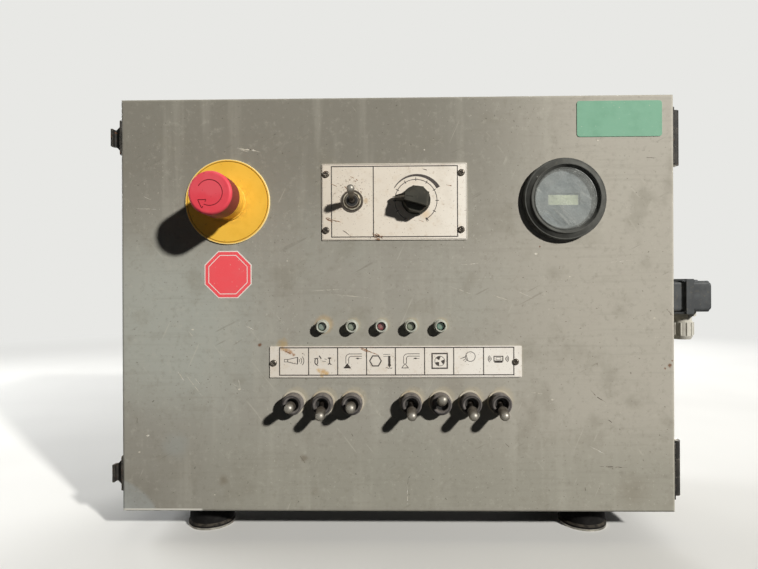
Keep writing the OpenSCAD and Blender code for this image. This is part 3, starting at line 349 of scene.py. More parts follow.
# Marks in the door's paint: place and radius in millimetres, and how strong a smudge is
SMUDGES = [(60, -84, 20, 0.2), (240, -190, 26, 0.25), (-177, -181, 8, 0.45), (-95, -158, 6, 0.5), (-83, -191, 7, 0.3)]
RUST_SPOTS = [(277.3, -63, 3), (280, -58, 1.6), (273, -66, 1.4), (-140, -41, 3), (146.8, 58.3, 1.2)]


def door_paint():
    """Grey paint of the door: cloudy, dusty and scuffed, with bare metal at its lower left edge that is painted near
    white as its highlight too; painted light to the right and at mid left, painted shadow along the top and painted
    shade along the bottom.
    """
    look = Look("door_paint", (160, 156, 145), 0.5, Specular_IOR_Level=DULL)
    x, z = look.axis(0), look.axis(2)
    # Clouds, then broad patches: painted light to the right and at mid left, painted shadow along the top, painted
    # shade along the bottom and at the lower left
    look.patches(5, 4, 0.36, 0.66, (154, 150, 139), 0.8, rough=0.6)
    look.patches(9, 3, 0.45, 0.7, (163, 162, 151), 0.6, shift=3.1)
    # Painted light: lighter to the right
    right = look.span(x, 0.0, 0.22)
    look.paint(right, (182, 176, 163), 0.85)
    # Painted light: a paler patch at mid left
    look.spot(on_face(-235, -20.5), 0.03, 0.14, 0.05, 14, (173, 174, 164), 0.9)
    # Painted shadow along the top, fading out to the right
    painted_top_shadow = look.math("MULTIPLY", look.span(z, 0.27, 0.40), look.math("SUBTRACT", 1.0, right))
    look.paint(painted_top_shadow, (134, 130, 119), 0.9)
    # Painted shade: darker towards the bottom
    look.paint(look.span(z, 0.14, 0.06), (155, 152, 139), 0.75)
    # Painted shade at the lower left
    look.spot(on_face(-270, -190.5), 0.03, 0.13, 0.05, 14, (146, 142, 132), 0.7)
    look.patches(26, 4, 0.53, 0.72, (138, 133, 119), 0.4, shift=1.7)
    # Streaks that water has left, and faint level brush marks
    look.patches(60, 3, 0.5, 0.75, (182, 178, 165), 0.3, stretch=(1, 1, 0.08), shift=5.3)
    look.patches(260, 3, 0.5, 0.75, (134, 130, 118), 0.17, stretch=(0.05, 1, 1), shift=2.2)
    # Rubbed corner, patches and smudges
    look.spot(on_face(-288, -218.5), 0.036, 0.041, 0.012, 40, (167, 170, 166), 0.8)
    look.spot(on_face(-227, -144), 0.004, 0.02, 0.02, 60, (156, 158, 152), 0.5)
    look.spot(on_face(-262, -192.5), 0.004, 0.035, 0.03, 50, (118, 112, 100), 0.3)
    for u, v, r, amount in SMUDGES:
        look.spot(on_face(u, v), 0, r * MM, 0.012, 110, (112, 99, 80), amount)
    # Tan dirt by the strip's corner; tan rings set off to the upper right of the lamps and switches; then rust
    look.spot(on_face(-116, -40), 0.001, 0.008, 0.008, 300, (176, 152, 108), 0.7)
    look.spot(on_face(-73.5, -20), 0.007, 0.0115, 0.004, 300, (180, 146, 96), 0.45)
    for u in SWITCHES:
        look.spot(on_face(u + 3, SWITCH_V + 4), 0.0105, 0.0135, 0.004, 300, (182, 170, 144), 0.3)
    for u in LAMPS:
        look.spot(on_face(u + 1.6, LAMP_V + 1.2), 0.0062, 0.0088, 0.003, 340, (180, 167, 138), 0.38)
    for u, v, r in RUST_SPOTS:
        look.spot(on_face(u, v), 0.2 * r * MM, r * MM, 0.003, 500, (112, 70, 44), 0.85)
    # Fine mottling, three sets of hair lines, light and dark specks
    look.patches(190, 5, 0.5, 0.75, (126, 121, 108), 0.32, shift=6.6, rough=0.7)
    look.patches(130, 5, 0.52, 0.78, (188, 184, 170), 0.36, shift=8.2, rough=0.7)
    dark, light = (112, 107, 95), (198, 193, 178)
    for turn, shift, color in ((0.5, 1.3, dark), (-0.9, 4.9, light), (1.15, 8.8, light)):
        lines = look.span(look.noise(230, 2, stretch=(0.06, 1, 1), shift=shift, turn=turn), 0.66, 0.7)
        lines = look.math("MULTIPLY", lines, look.span(look.noise(30, 3, shift=shift), 0.5, 0.62))
        look.paint(lines, color, 0.3)
    specks = look.span(look.noise(420, 2, shift=7.7), 0.66, 0.74)
    look.paint(look.math("MULTIPLY", specks, look.span(look.noise(12), 0.4, 0.6)), (204, 199, 184), 0.38)
    look.patches(350, 2, 0.69, 0.75, (90, 84, 74), 0.6, shift=9.1)
    # Wear along the rim, and the bare stretch of the bottom edge, painted near white: bare metal with a painted
    # highlight
    edge, bare_highlight_top, bare_highlight_end = 0.0015, MID_Z - HALF_H + 0.0035, -0.1985
    sides = look.span(look.math("ABSOLUTE", x), HALF_W - edge, HALF_W - 0.0002)
    ends = look.span(look.off(z, MID_Z), HALF_H - edge, HALF_H - 0.0002)
    look.paint(look.worn(look.math("ADD", sides, ends, clamp=True), 120, 0.3, 0.6), (182, 178, 164), 0.7)
    # Bare metal at the left of the bottom edge, painted near white as a painted highlight too
    low = look.math("MULTIPLY", look.span(z, bare_highlight_top, bare_highlight_top - 0.0006), look.span(x, bare_highlight_end, bare_highlight_end - 0.003))
    look.paint(low, (236, 232, 220))
    return look.grain(look.span(look.noise(20, 4, shift=4.4), 0.35, 0.7), 0.38, 900, 0.00002, 0.5)


def box_paint():
    """Paint of the walls: dusty on top, worn along the edges and rusty low down."""
    look = Look("box_paint", (144, 141, 130), 0.66, Specular_IOR_Level=DULL)
    look.patches(6, 4, 0.36, 0.66, (126, 123, 112), rough=0.6)
    look.patches(24, 4, 0.52, 0.72, (120, 114, 101), 0.28, shift=1.7)
    look.patches(60, 3, 0.52, 0.75, (160, 156, 143), 0.35, stretch=(1, 1, 0.06), shift=5.3)
    look.dust((158, 149, 128), 0.55)
    look.paint(look.worn(look.edges(0.003), 140, 0.4, 0.6), (178, 174, 160), 0.6)
    look.paint(look.worn(look.span(look.axis(2), 0.05, 0.03), 60, 0.4, 0.62), (112, 88, 62), 0.45)
    look.patches(350, 2, 0.69, 0.75, (84, 76, 64), 0.6, shift=9.1)
    return look.grain(look.span(look.noise(20, 4), 0.35, 0.7), 0.56, 900, 0.00002, 0.5)


def steel(name, color, rough, rust, cloud=0.72, scale=90):
    """Bare or zinc-plated metal with darker clouds and rust stains."""
    look = Look(name, color, rough, 0.9)
    look.patches(scale, 4, 0.35, 0.7, tuple(cloud * c for c in color))
    stain = look.span(look.noise(160, 4, shift=2.0), 0.56, 0.7)
    look.paint(stain, (116, 78, 48), rust)
    look.metal(look.math("SUBTRACT", 0.9, look.math("MULTIPLY", stain, rust)))
    return look.grain(look.span(look.noise(260, 3, shift=1.0), 0.4, 0.7), rough + 0.2, 1200, 0.00001, 0.4)


def black_paint():
    """Black paint of hinges and latches, dusty and chipped to the metal."""
    look = Look("black_paint", (40, 39, 37), 0.5, Specular_IOR_Level=0.15)
    look.patches(120, 4, 0.4, 0.7, (58, 55, 50))
    look.dust((118, 108, 92), 0.5)
    look.paint(look.worn(look.edges(0.0012), 500, 0.4, 0.55), (128, 122, 112), 0.8)
    look.patches(210, 4, 0.62, 0.7, (104, 66, 40), 0.6, shift=3.0)
    return look.grain(look.noise(200), 0.62, 800, 0.00003, 0.6, detail=3)


def rubber(name, color, dusty):
    """Dull rubber, dusty on top and along its edges."""
    look = Look(name, color, 0.8, Specular_IOR_Level=DULL)
    look.patches(140, 4, 0.4, 0.7, tuple(1.35 * c for c in color))
    look.dust(dusty, 0.6)
    look.paint(look.worn(look.edges(0.001), 260, 0.35, 0.6), dusty, 0.55)
    return look.grain(look.noise(300), 0.62, 1500, 0.00003, 0.6)


def plastic(name, color, rough, fade, grime, dull=0.2):
    """Plastic or cast metal with a paler fade and grime; dull is its specular level."""
    look = Look(name, color, rough, Specular_IOR_Level=dull)
    look.patches(70, 4, 0.4, 0.7, fade, 0.6)
    look.patches(220, 4, 0.56, 0.72, grime, 0.35, shift=2.5)
    look.gloss(look.noise(180), min(0.9, rough + 0.18))
    look.bump(look.noise(1400, 2), 0.00002, 0.5)
    return look


def yellow():
    """Plate and collar of the stop button: painted shade in the groove near the rim, a pale worn edge that is also a
    painted highlight, and dirt round the collar.
    """
    look = Look("stop_yellow", (245, 193, 72), 0.42, Specular_IOR_Level=0.25)
    look.patches(60, 4, 0.42, 0.72, (234, 181, 60), 0.6)
    ring = look.from_axis(UPPER_V, STOP_U)
    groove_r, plate_top = 0.0414, FACE_Y - 0.0014
    # Painted shade in the groove near the rim
    groove = look.math("MULTIPLY", look.span(look.off(ring, groove_r), 0.0006, 0.0003),
                       look.span(look.axis(1), plate_top - 0.0001, plate_top))
    look.paint(groove, (150, 110, 44), 0.85)
    look.paint(look.worn(look.span(ring, 0.0275, 0.0185), 240, 0.38, 0.6), (176, 136, 56), 0.35)
    look.patches(260, 4, 0.66, 0.74, (150, 112, 50), 0.35, shift=2.0)
    # Pale worn rim, also a painted highlight
    look.paint(look.worn(look.span(ring, 0.0424, 0.0431), 200, 0.2, 0.4), (254, 232, 168), 0.85)
    return look.grain(look.noise(150), 0.6, 900, 0.00002, 0.4)


def stop_red():
    """Head of the stop button: sun-bleached face, with painted shade in the arrow groove and on the side."""
    look = Look("stop_red", (228, 72, 84), 0.42, Specular_IOR_Level=0.25)
    look.patches(45, 4, 0.38, 0.68, (230, 92, 102), 0.8)
    y, top = look.axis(1), FACE_Y - 0.0565
    # Painted shade in the arrow groove
    groove = look.math("MULTIPLY", look.span(y, top + 0.00012, top + 0.0003),
                       look.span(look.from_axis(UPPER_V, STOP_U), 0.0165, 0.016))
    look.paint(groove, (128, 34, 42), 0.85)
    # Painted shade on the side of the head
    look.paint(look.span(y, top + 0.0014, top + 0.0045), (112, 38, 44), 0.92)
    look.paint(look.worn(look.edges(0.001, 0.04, 0.3), 300), (236, 130, 134), 0.06)
    look.patches(300, 3, 0.66, 0.73, (150, 48, 52), 0.5, shift=4.0)
    return look.grain(look.noise(120), 0.58, 1000, 0.00002, 0.4)


# Stains on the two cream plates: place and radius in millimetres, and colour
LABEL_STAINS = [
    (-116, -44.5, 4.2, (188, 150, 98)), (-112, -46.2, 3.8, (178, 130, 74)), (-108, -48.2, 3.6, (172, 120, 64)),
    (-105, -51.2, 2.4, (160, 112, 66)), (-79, -67.2, 3.4, (208, 168, 102)), (-74.5, -68.2, 4.2, (202, 158, 88)),
    (-71, -70.2, 3.4, (206, 166, 100)), (-76, -72.4, 3.2, (210, 174, 112)), (31, 92, 8.0, (226, 200, 166)),
    (-46, 112, 7.0, (214, 192, 160)), (-30, 106, 4.0, (206, 182, 148)),
]


def label_metal():
    """Cream plate with brown stains, darker to the left, and a bright sheared edge."""
    look = Look("label_metal", (232, 222, 206), 0.45, Specular_IOR_Level=0.2)
    x = look.axis(0)
    look.paint(look.span(x, -0.01, -0.12), (216, 205, 188), 0.9)
    look.paint(look.span(x, 0.01, 0.10), (250, 244, 232), 0.9)
    look.paint(look.span(look.axis(2), 0.21, 0.2), (233, 228, 220), 0.45)
    look.patches(40, 4, 0.45, 0.75, (214, 203, 186), 0.45)
    look.patches(150, 5, 0.52, 0.76, (206, 186, 158), 0.4, shift=4.0, rough=0.7)
    look.patches(170, 4, 0.62, 0.76, (168, 142, 108), 0.4, shift=3.0)
    look.patches(600, 2, 0.66, 0.72, (112, 88, 66), 0.55, shift=6.0)
    near_selector = look.math("MULTIPLY", look.near(on_face(SELECTOR_U, UPPER_V + 6, PLATE_H), 0.012, 0.026),
                              look.span(look.noise(520, 2, shift=3.3), 0.6, 0.66))
    look.paint(near_selector, (122, 94, 66), 0.7)
    for u, v, r, color in LABEL_STAINS:
        look.spot(on_face(u, v, PLATE_H), 0.0002, r * MM, 0.004, 520, color, 0.8)
    look.paint(look.edges(0.0006, 0.05, 0.4), (236, 230, 216), 0.5)
    return look.grain(look.noise(220), 0.58, 900, 0.00001, 0.4)


def lever_look():
    """Levers: dull and brownish, with painted shade at the root and a paler end that is partly hand polish and partly
    a painted highlight.
    """
    look = Look("lever_chrome", (116, 110, 101), 0.44, 0.85, Specular_IOR_Level=0.3)
    look.patches(260, 4, 0.36, 0.66, (84, 77, 69), 0.85)
    y = look.axis(1)
    # Paler end: partly hand polish, partly a painted highlight
    look.paint(look.span(y, FACE_Y - 0.023, FACE_Y - 0.031), (150, 146, 137), 0.7)
    # Painted shade at the root, where the lever goes into its collar
    look.paint(look.span(y, FACE_Y - 0.019, FACE_Y - 0.010), (56, 50, 44), 0.85)
    return look.grain(look.span(look.noise(420, 3), 0.4, 0.75), 0.62, 1500, 0.00001, 0.5)


def lens_look():
    """Five lenses in one material: the third is red, the others greenish, each with painted shade round its rim and a
    painted highlight in its middle.
    """
    look = Look("lamp_lens", (112, 128, 118), 0.3, Coat_Weight=0.4, Coat_Roughness=0.25)
    x = look.axis(0)
    for u, color in zip(LAMPS[1:], ((120, 130, 114), (124, 50, 54), (108, 116, 96), (92, 126, 110))):
        look.paint(look.between(x, u - 15, u + 15), color)
    ring = look.from_axis(LAMP_V)
    # Painted shade round the rim, inside the bezel's recess
    look.paint(look.span(ring, 0.0026, 0.0034), (48, 60, 52), 0.6)
    # Painted highlight in the middle
    look.paint(look.span(ring, 0.0022, 0.0012), (146, 148, 134), 0.3)
    look.patches(500, 3, 0.45, 0.7, (150, 148, 134), 0.25)
    look.bump(look.noise(900, 2), 0.00003, 0.5)
    return look


def cover():
    """Clear cover under a film of dust: a see-through shader mixed with a dull one."""
    look = Look("clear_cover", (186, 188, 182), 0.25)
    clear = look.put("BsdfTransparent", {"Color": (0.93, 0.94, 0.94, 1)})
    film = look.span(look.noise(60, 4), 0.3, 0.75, 0.12, 0.3)
    specks = look.math("MULTIPLY", look.span(look.noise(430, 3, shift=2.0), 0.63, 0.7), 0.28)
    scuffs = look.span(look.noise(300, 2, stretch=(0.12, 1, 1), shift=1.0, turn=-0.75), 0.62, 0.68)
    specks = look.math("ADD", specks, look.math("MULTIPLY", scuffs, 0.22))
    sheen = look.math("MULTIPLY", look.put("LayerWeight", {"Blend": 0.35}, out="Facing"), 0.2)
    fac = look.math("ADD", look.math("ADD", film, specks), sheen, clamp=True)
    look.surface(look.put("MixShader", {0: fac, 1: clear, 2: look.shader.outputs[0]}))
    return look


def printed(name, color):
    """Print, scratches and dirt: patchy where they have worn."""
    look = Look(name, color, 0.6)
    look.patches(500, 3, 0.5, 0.72, tuple(min(255, 1.7 * c + 26) for c in color), 0.6)
    look.gloss(look.noise(300), 0.7)
    return look


def sticker(name, color, other, rough=0.4):
    """Coloured film with patches of another shade and pale specks."""
    look = Look(name, color, rough)
    look.patches(50, 4, 0.4, 0.7, other, 0.7)
    look.patches(420, 3, 0.66, 0.73, (222, 214, 200), 0.5, shift=2.0)
    return look.grain(look.noise(150), rough + 0.15, 700, 0.00001, 0.4)


def terminal_look():
    """Grey terminals with blue ones and an earth one among them."""
    look = Look("terminal_plastic", (142, 144, 142), 0.5)
    x = look.axis(0)
    for low, high, color in ((-90, -60, (64, 98, 150)), (60, 70, (76, 140, 70)), (90, 110, (172, 92, 54))):
        look.paint(look.between(x, low, high), color)
    look.patches(90, 4, 0.4, 0.7, (110, 108, 102), 0.4)
    look.dust((150, 142, 124), 0.4)
    return look.grain(look.noise(200), 0.65, 900, 0.00002, 0.4)


def relay_look():
    """Dark relays with a pale cap."""
    look = Look("relay_plastic", (70, 72, 74), 0.5)
    top = look.span(look.axis(1), 0.026, 0.0255)
    look.paint(top, (186, 176, 150))
    look.patches(80, 4, 0.4, 0.7, (96, 92, 84), 0.4)
    return look.grain(top, 0.28, 900, 0.00002, 0.4)


def boot_look():
    """Ribbed rubber collars of the lower switches."""
    look = rubber("boot_rubber", (88, 84, 81), (132, 124, 114))
    waves = look.math("SINE", look.math("MULTIPLY", look.from_axis(SWITCH_V), 2 * math.pi / 0.0027))
    look.paint(look.span(waves, 0.0, 0.9), (40, 39, 40), 0.7)
    look.bump(waves, 0.0002, 0.7)
    return look


def meter_look():
    """Black rim of the hour meter with painted highlights, pale spots at its upper left."""
    look = plastic("meter_black", (82, 82, 78), 0.38, (106, 106, 101), (112, 108, 98), dull=0.04)
    # Painted highlights: pale spots where the rim's upper left catches the light
    for u, v, r in ((161, 145.5, 2.6), (164.5, 146.3, 2.2), (151, 138, 1.8), (142, 128, 1.4)):
        look.spot(on_face(u, v, 9.5), 0.0002, r * MM, 0.004, 520, (196, 194, 186), 0.8)
    return look


def nut_look():
    """Selector's nut with painted highlights and painted shadow as light and dark rings round the lever."""
    look = steel("nut_steel", (104, 96, 86), 0.4, rust=0.5)
    ring = look.from_axis(UPPER_V, SELECTOR_U)
    # Painted highlights and painted shadow: light and dark rings at the radii of the nut's steps
    for r, color, amount in ((9.9, (58, 50, 44), 0.8), (8.5, (196, 188, 170), 0.8),
                             (7.2, (52, 46, 40), 0.85), (5.7, (186, 178, 162), 0.7)):
        band = look.span(look.off(ring, r * MM), 0.0008, 0.0004)
        look.paint(look.worn(band, 200, 0.3, 0.5), color, amount)
    return look


paint, box_side, black = door_paint(), box_paint(), black_paint()
zinc = steel("zinc", (178, 174, 164), 0.4, rust=0.5)
washer_look = plastic("washer_zinc", (196, 188, 170), 0.5, (176, 160, 130), (150, 112, 70))
wire = steel("latch_wire", (150, 147, 140), 0.42, rust=0.45)
foot_rubber = rubber("foot_rubber", (27, 26, 25), (104, 96, 84))
boot_rubber = boot_look()
seal_rubber = rubber("seal_rubber", (30, 30, 30), (70, 68, 64))
cream, levers, lenses, glass = label_metal(), lever_look(), lens_look(), cover()
yellow_look, red_look = yellow(), stop_red()
black_plastic = plastic("black_plastic", (44, 43, 42), 0.5, (70, 68, 64), (96, 86, 70))
knob_plastic = plastic("knob_plastic", (58, 57, 51), 0.42, (78, 76, 68), (98, 90, 78), dull=0.1)
meter_black = meter_look()
meter_dial = plastic("meter_dial", (160, 165, 166), 0.5, (176, 181, 180), (134, 134, 128))
bezel_metal = plastic("bezel_metal", (172, 173, 160), 0.4, (192, 192, 181), (140, 130, 106))
grey_metal = plastic("grey_cast", (64, 66, 67), 0.45, (88, 90, 90), (110, 102, 88))
gland_look = plastic("gland_plastic", (186, 182, 170), 0.5, (206, 203, 192), (116, 104, 84))
plate_zinc = steel("plate_zinc", (182, 174, 140), 0.45, rust=0.06, cloud=0.9, scale=24)
rail_zinc = steel("rail_zinc", (178, 177, 170), 0.4, rust=0.06, cloud=0.92, scale=30)
nut_steel = nut_look()

LOOKS = {
    paint: ["door_pan"],
    box_side: ["back_wall", "left_wall", "right_wall", "top_wall", "bottom_wall"],
    zinc: ["foot_discs", "foot_studs", "foot_nuts", "hinge_pins"],
    rail_zinc: ["standoffs", "din_rail"],
    washer_look: ["switch_washers"],
    nut_steel: ["selector_nut"],
    wire: ["latch_bail_upper", "latch_bail_lower"],
    foot_rubber: ["foot_rubbers"],
    boot_rubber: ["switch_boots"],
    seal_rubber: ["door_seal"],
    black: ["hinge_leaves_box", "hinge_leaves_door", "latch_keepers", "latch_bases",
            "latch_lever_upper", "latch_lever_lower"],
    yellow_look: ["estop_plate", "estop_collar"],
    red_look: ["estop_head"],
    black_plastic: ["estop_block", "estop_stem", "lamp_bodies", "switch_bodies", "dial_pot"],
    knob_plastic: ["dial_knob"],
    cream: ["selector_plate", "label_strip"],
    levers: ["selector_lever"] + [f"switch_lever_{k}" for k in range(1, 8)],
    meter_black: ["meter_rim", "meter_can"],
    meter_dial: ["meter_dial"],
    glass: ["meter_glass"],
    bezel_metal: ["lamp_bezels"],
    lenses: ["lamp_lenses"],
    terminal_look(): ["terminal_row"],
    relay_look(): ["relays"],
    plate_zinc: ["mounting_plate"],
    grey_metal: ["connector_base", "connector_hood"],
    gland_look: ["connector_gland"],
}
for look, names in LOOKS.items():
    for name in names:
        mesh = nodes[name].data
        mesh.materials.clear()
        mesh.materials.append(look.mat)
missing = set(nodes) - set(sum(LOOKS.values(), []))
if missing:
    raise RuntimeError(f"no material for {sorted(missing)}")


# Pieces on the door


def at_height(h):
    return lambda u, v: on_face(u, v, h)


ink = printed("plate_ink", (50, 43, 38))

# Upper plate: frames, divider and the dial's scale, which has a band over it that thickens clockwise
art = Soup()
place = at_height(ON_PLATE)
art.line(rect(-65.2, 69.2, 63.3, 141.2), 1.05, place, closed=True)
art.line([(-22.4, 69.2), (-22.4, 141.2)], 1.05, place)
art.line(rect(-74.2, 66.9, 72.2, 143.1), 0.35, place, closed=True)
SCALE_FROM, SCALE_TO = -60, 240
art.line(arc(DIAL_U, UPPER_V, 21.5, SCALE_FROM, SCALE_TO, 90), 0.7, place)
ticks = [(SCALE_FROM + 30 * k, 20.0, 23.4, 0.75) for k in range(11)]
ticks += [(a, 20.6, 24.6, 0.5) for a in (SCALE_TO - 2, SCALE_TO + 2, SCALE_FROM + 2, SCALE_FROM - 2)]
for a, low, high, width in ticks:
    art.line([polar(DIAL_U, UPPER_V, r, a) for r in (low, high)], width, place)
count = 40
outer = [(25.8 + 2.5 * k / count, 150 - 120 * k / count) for k in range(count + 1)]
inner = [(25.1 - 0.8 * k / count, 150 - 120 * k / count) for k in range(count + 1)]
band = [polar(DIAL_U, UPPER_V, r, a) for r, a in outer + inner[::-1]]
for k in range(count):
    art.polygon([band[k], band[k + 1], band[2 * count - k], band[2 * count + 1 - k]], place)
art.make("upper_plate_print", ink, "door")

# Label strip: cells and generic signs
art = Soup()
CELLS = [-119.3, -89.4, -59.7, -30.1, -0.7, 29.1, 58.7, 89.0, 119.7]
STRIP_TOP, STRIP_LOW = -43.9, -71.9
art.line(rect(CELLS[0], STRIP_LOW, CELLS[-1], STRIP_TOP), 1.1, place, closed=True)
for u in CELLS[1:-1]:
    art.line([(u, STRIP_LOW), (u, STRIP_TOP)], 1.05, place)
art.line([(-128.6, -74.0), (127.2, -74.0)], 0.3, place)


def cell(k):
    """Placer for a sign: right and down in millimetres from the cell's upper left corner."""
    return lambda x, y: on_face(CELLS[k] + x, STRIP_TOP - y, ON_PLATE)


def strokes(sign, lines):
    for width, *points in lines:
        art.line(points, width, sign)


horn = cell(0)
art.line(rect(5, 11.9, 8.4, 14.4), 0.56, horn, closed=True)
art.line([(8.4, 12.0), (18.2, 9.8), (18.9, 10.2), (18.6, 16.4), (18.2, 16.8), (8.4, 14.4)], 0.63, horn, closed=True)
art.line([(18.2, 9.8), (18.2, 16.8)], 0.49, horn)
for r in (2.2, 4.2, 6.4):
    art.line(arc(18.6, 13.3, r, -42, 42, 12), 0.63, horn)
valve = cell(1)
art.line(arc(7.9, 14.0, 1.5, 0, 360, 20, ry=3.2)[:-1], 0.98, valve, closed=True)
strokes(valve, [
    (0.7, (5.6, 11.2), (10.0, 10.6)), (0.56, (7.2, 17.2), (9.6, 18.4)), (1.12, (10.8, 8.2), (13.0, 11.4)),
    (0.49, (13.6, 13.6), (17.4, 14.0)), (0.49, (16.2, 11.4), (18.6, 12.0)), (1.26, (19.6, 10.6), (23.2, 10.6)),
    (0.98, (21.4, 10.6), (21.4, 16.6)), (1.12, (19.8, 17.2), (21.4, 16.0), (23.2, 17.2)),
])


def elbow(place, filled):
    """Delivery pipe with a funnel below its bend and a flow arrow."""
    art.line([(8.4, 16.4), (8.4, 10.8)] + arc(12.4, 10.4, 4.0, 180, 270, 10)[1:] + [(24.8, 6.4)], 0.63, place)
    art.line([(11.3, 16.4), (11.3, 11.6)] + arc(14.0, 11.5, 2.7, 180, 270, 8)[1:] + [(24.8, 8.8)], 0.63, place)
    cone = [(9.9, 16.4), (13.2, 20.8), (6.6, 20.8)]
    if filled:
        art.polygon(cone, place)
    art.line(cone, 0.7, place, closed=True)
    art.polygon([(18.2, 11.0), (20.6, 10.2), (22.0, 10.9), (22.0, 11.5), (20.6, 11.9)], place)
    art.line([(21.6, 11.2), (24.6, 11.2)], 0.42, place)


elbow(cell(2), True)
elbow(cell(4), False)
stop = cell(3)
art.line(arc(9.1, 13.6, 5.9, 0, 300, 5), 1.2, stop, closed=True)
strokes(stop, [(0.49, (16.9, 6.9), (24.0, 6.9)), (0.49, (17.2, 8.9), (22.4, 8.9)), (2.38, (23.2, 8.4), (23.2, 17.8))])
art.polygon([(22.0, 17.0), (24.6, 17.0), (25.0, 18.4), (23.4, 20.2), (21.8, 18.6)], stop)
art.line([(19.4, 21.0), (20.8, 20.4), (22.2, 21.2), (23.6, 20.6), (25.0, 21.2), (26.2, 20.6)], 0.56, stop)
fan = cell(5)
art.line(rect(7.6, 6.2, 23.0, 21.2), 1.4, fan, closed=True)
art.line(arc(15.4, 13.9, 5.0, 0, 360, 36)[:-1], 0.49, fan, closed=True)
for a in (100, 220, 340):
    art.polygon(arc(15.4, 13.9, 4.7, a, a + 62, 10) + arc(15.4, 13.9, 1.5, a + 44, a + 8, 5), fan)
lamp = cell(6)
art.line(arc(17.0, 9.4, 4.9, 0, 360, 36)[:-1], 0.63, lamp, closed=True)
strokes(lamp, [(0.56, a, b) for a, b in (
    ((6.8, 11.6), (12.0, 9.4)), ((7.6, 11.2), (11.6, 9.9)), ((9.6, 13.4), (12.6, 11.4)), ((11.4, 14.8), (13.6, 12.8)),
    ((12.6, 7.6), (14.4, 13.6)))])
shaker = cell(7)
art.line(rect(10.6, 9.2, 19.6, 14.0), 0.98, shaker, closed=True)
art.line(rect(12.6, 10.4, 17.6, 12.8), 0.42, shaker, closed=True)
art.line([(11.0, 15.0), (19.2, 15.0)], 1.54, shaker)
for x0, middle in ((9.2, 180), (21.0, 0)):
    for r in (1.6, 3.0, 4.4):
        art.line(arc(x0, 11.8, r, middle - 48, middle + 48, 10), 0.7, shaker)
art.make("label_strip_print", ink, "door")

# White mark down the slope of the knob's nose, with a raised tip: distance from the axis, height
a = math.radians(173)
mark = Soup()
profile = [(12.4, 22.1), (21.6, 8.6), (23.7, 7.6), (24.0, 7.2), (24.0, 2.6), (22.0, 2.6), (22.0, 7.2), (12.4, 21.4)]
mark.loft(*([on_face(DIAL_U + r * math.cos(a) - w * math.sin(a), UPPER_V + r * math.sin(a) + w * math.cos(a), h)
             for r, h in profile] for w in (-0.9, 0.9)))
mark.make("knob_mark", printed("mark_white", (176, 170, 156)), "dial")

# Screws of the two plates
RIGHT, LEFT, FRONT, UP = (1, 0, 0), (-1, 0, 0), (0, -1, 0), (0, 0, 1)
PLATE_SCREWS = [(-70.7, 133.4, 3.5), (-70.9, 76.1, 3.5), (67.3, 134.2, 3.5), (67.0, 76.2, 3.5),
                (-125.4, -59.4, 3.3), (121.6, -58.7, 3.3)]
heads = Soup()
for k, (u, v, r) in enumerate(PLATE_SCREWS):
    screw(heads, on_face(u, v, PLATE_H), FRONT, UP, r, 2.0, 17 + 31 * k)
screw_steel = steel("screw_steel", (104, 97, 88), 0.26, rust=0.5, cloud=0.55, scale=400)
heads.make("plate_screws", screw_steel, "door", smooth=True)

# Octagonal sign: white edge, red field and a white inner line, left blank
red_sign = sticker("sign_red", (244, 86, 92), (236, 98, 102))
white_sign = sticker("sign_white", (240, 230, 222), (228, 214, 204))


def octagon(flats):
    return arc(-172.2, 31.4, flats / 2 / math.cos(math.pi / 8), 22.5, 337.5, 7)


sign = Soup()
sign.extruded(octagon(48.6), 0.0, 0.22, on_face, 0.06)
sign.make("octagon_edge", white_sign, "door")
sign = Soup()
sign.extruded(octagon(46.6), 0.2, 0.25, on_face, 0.02)
sign.make("octagon_field", red_sign, "door")
sign = Soup()
sign.line(octagon(39.6), 0.75, at_height(0.27), closed=True)
sign.make("octagon_line", white_sign, "door")

# Green plate, left blank
sign = Soup()
sign.extruded(round_rect(227.7, 187.8, 86.0, 36.5, 3.0), 0.0, 0.6, on_face, 0.2)
sign.make("green_label", sticker("label_green", (124, 172, 144), (112, 160, 132), 0.7), "door")

# Counter's window in the meter's dial
window = Soup()
window.extruded(round_rect(METER_U - 1.5, UPPER_V - 1.0, 31.4, 10.8, 0.8), 1.6, 1.75, on_face, 0.05)
window.make("meter_window", sticker("window_grey", (246, 250, 220), (236, 240, 208)), "door")

# Scratches and chips in the door's paint, as u, v points and as u, v, radius
LIGHT = [
    ((66, 40), (89, 42)), ((56, 18), (78, 10)), ((97, 9.5), (118, 3)), ((125, 12.5), (139, 6.5)),
    ((218, 42), (241, 44)), ((137, -90), (149, -92)), ((-87, 14), (-55, 16)), ((-63, 10.5), (-28, 7)),
    ((-267, 100), (-244, 99)), ((-259, 112), (-252, 109)), ((-217, -71), (-199, -94)), ((-207, -75), (-200, -83)),
    ((-225, -68), (-217, -79)), ((-155, -21), (-142, -27)), ((-213, -27), (-209, -32)), ((197, -145), (212, -153)),
    ((11, -185), (11, -205)), ((-169, -80), (-157, -87)), ((-162, -76), (-159, -89)), ((-159, 161.5), (-138, 157)),
    ((-160, 160), (-148, 156.5)),
]
DARK = [
    ((197, -87), (204, -95), (213, -100)), ((215, -118), (221, -122)), ((254.6, 148.3), (264.7, 147.7)),
    ((274.6, -6), (280.6, -12)), ((206, -165.6), (234, -166.5)), ((11.2, -184), (11.8, -178), (14.3, -175)),
    ((191.5, -187), (192.5, -192)), ((111, -142), (115, -146)), ((-267, -116), (-267, -121)),
    ((-99, -155), (-94, -162)), ((-46, -132), (-44, -135)),
]
WIDE = [((-162, 161.6), (-154, 159.6), (-145, 159.8)), ((-152, 160.4), (-141, 157.8))]
CHIPS = [
    (142.7, 51.2, 1.7), (177, 27.7, 1.0), (262.5, -15, 1.2), (206, 166, 1.0), (159, -97.5, 1.3), (-161, -86.5, 1.6),
    (-209, -25, 1.4), (-187, -195, 1.0), (-265, -151, 1.2), (-256, -134, 1.5), (-111, 45, 0.9), (30, 158, 0.9),
]
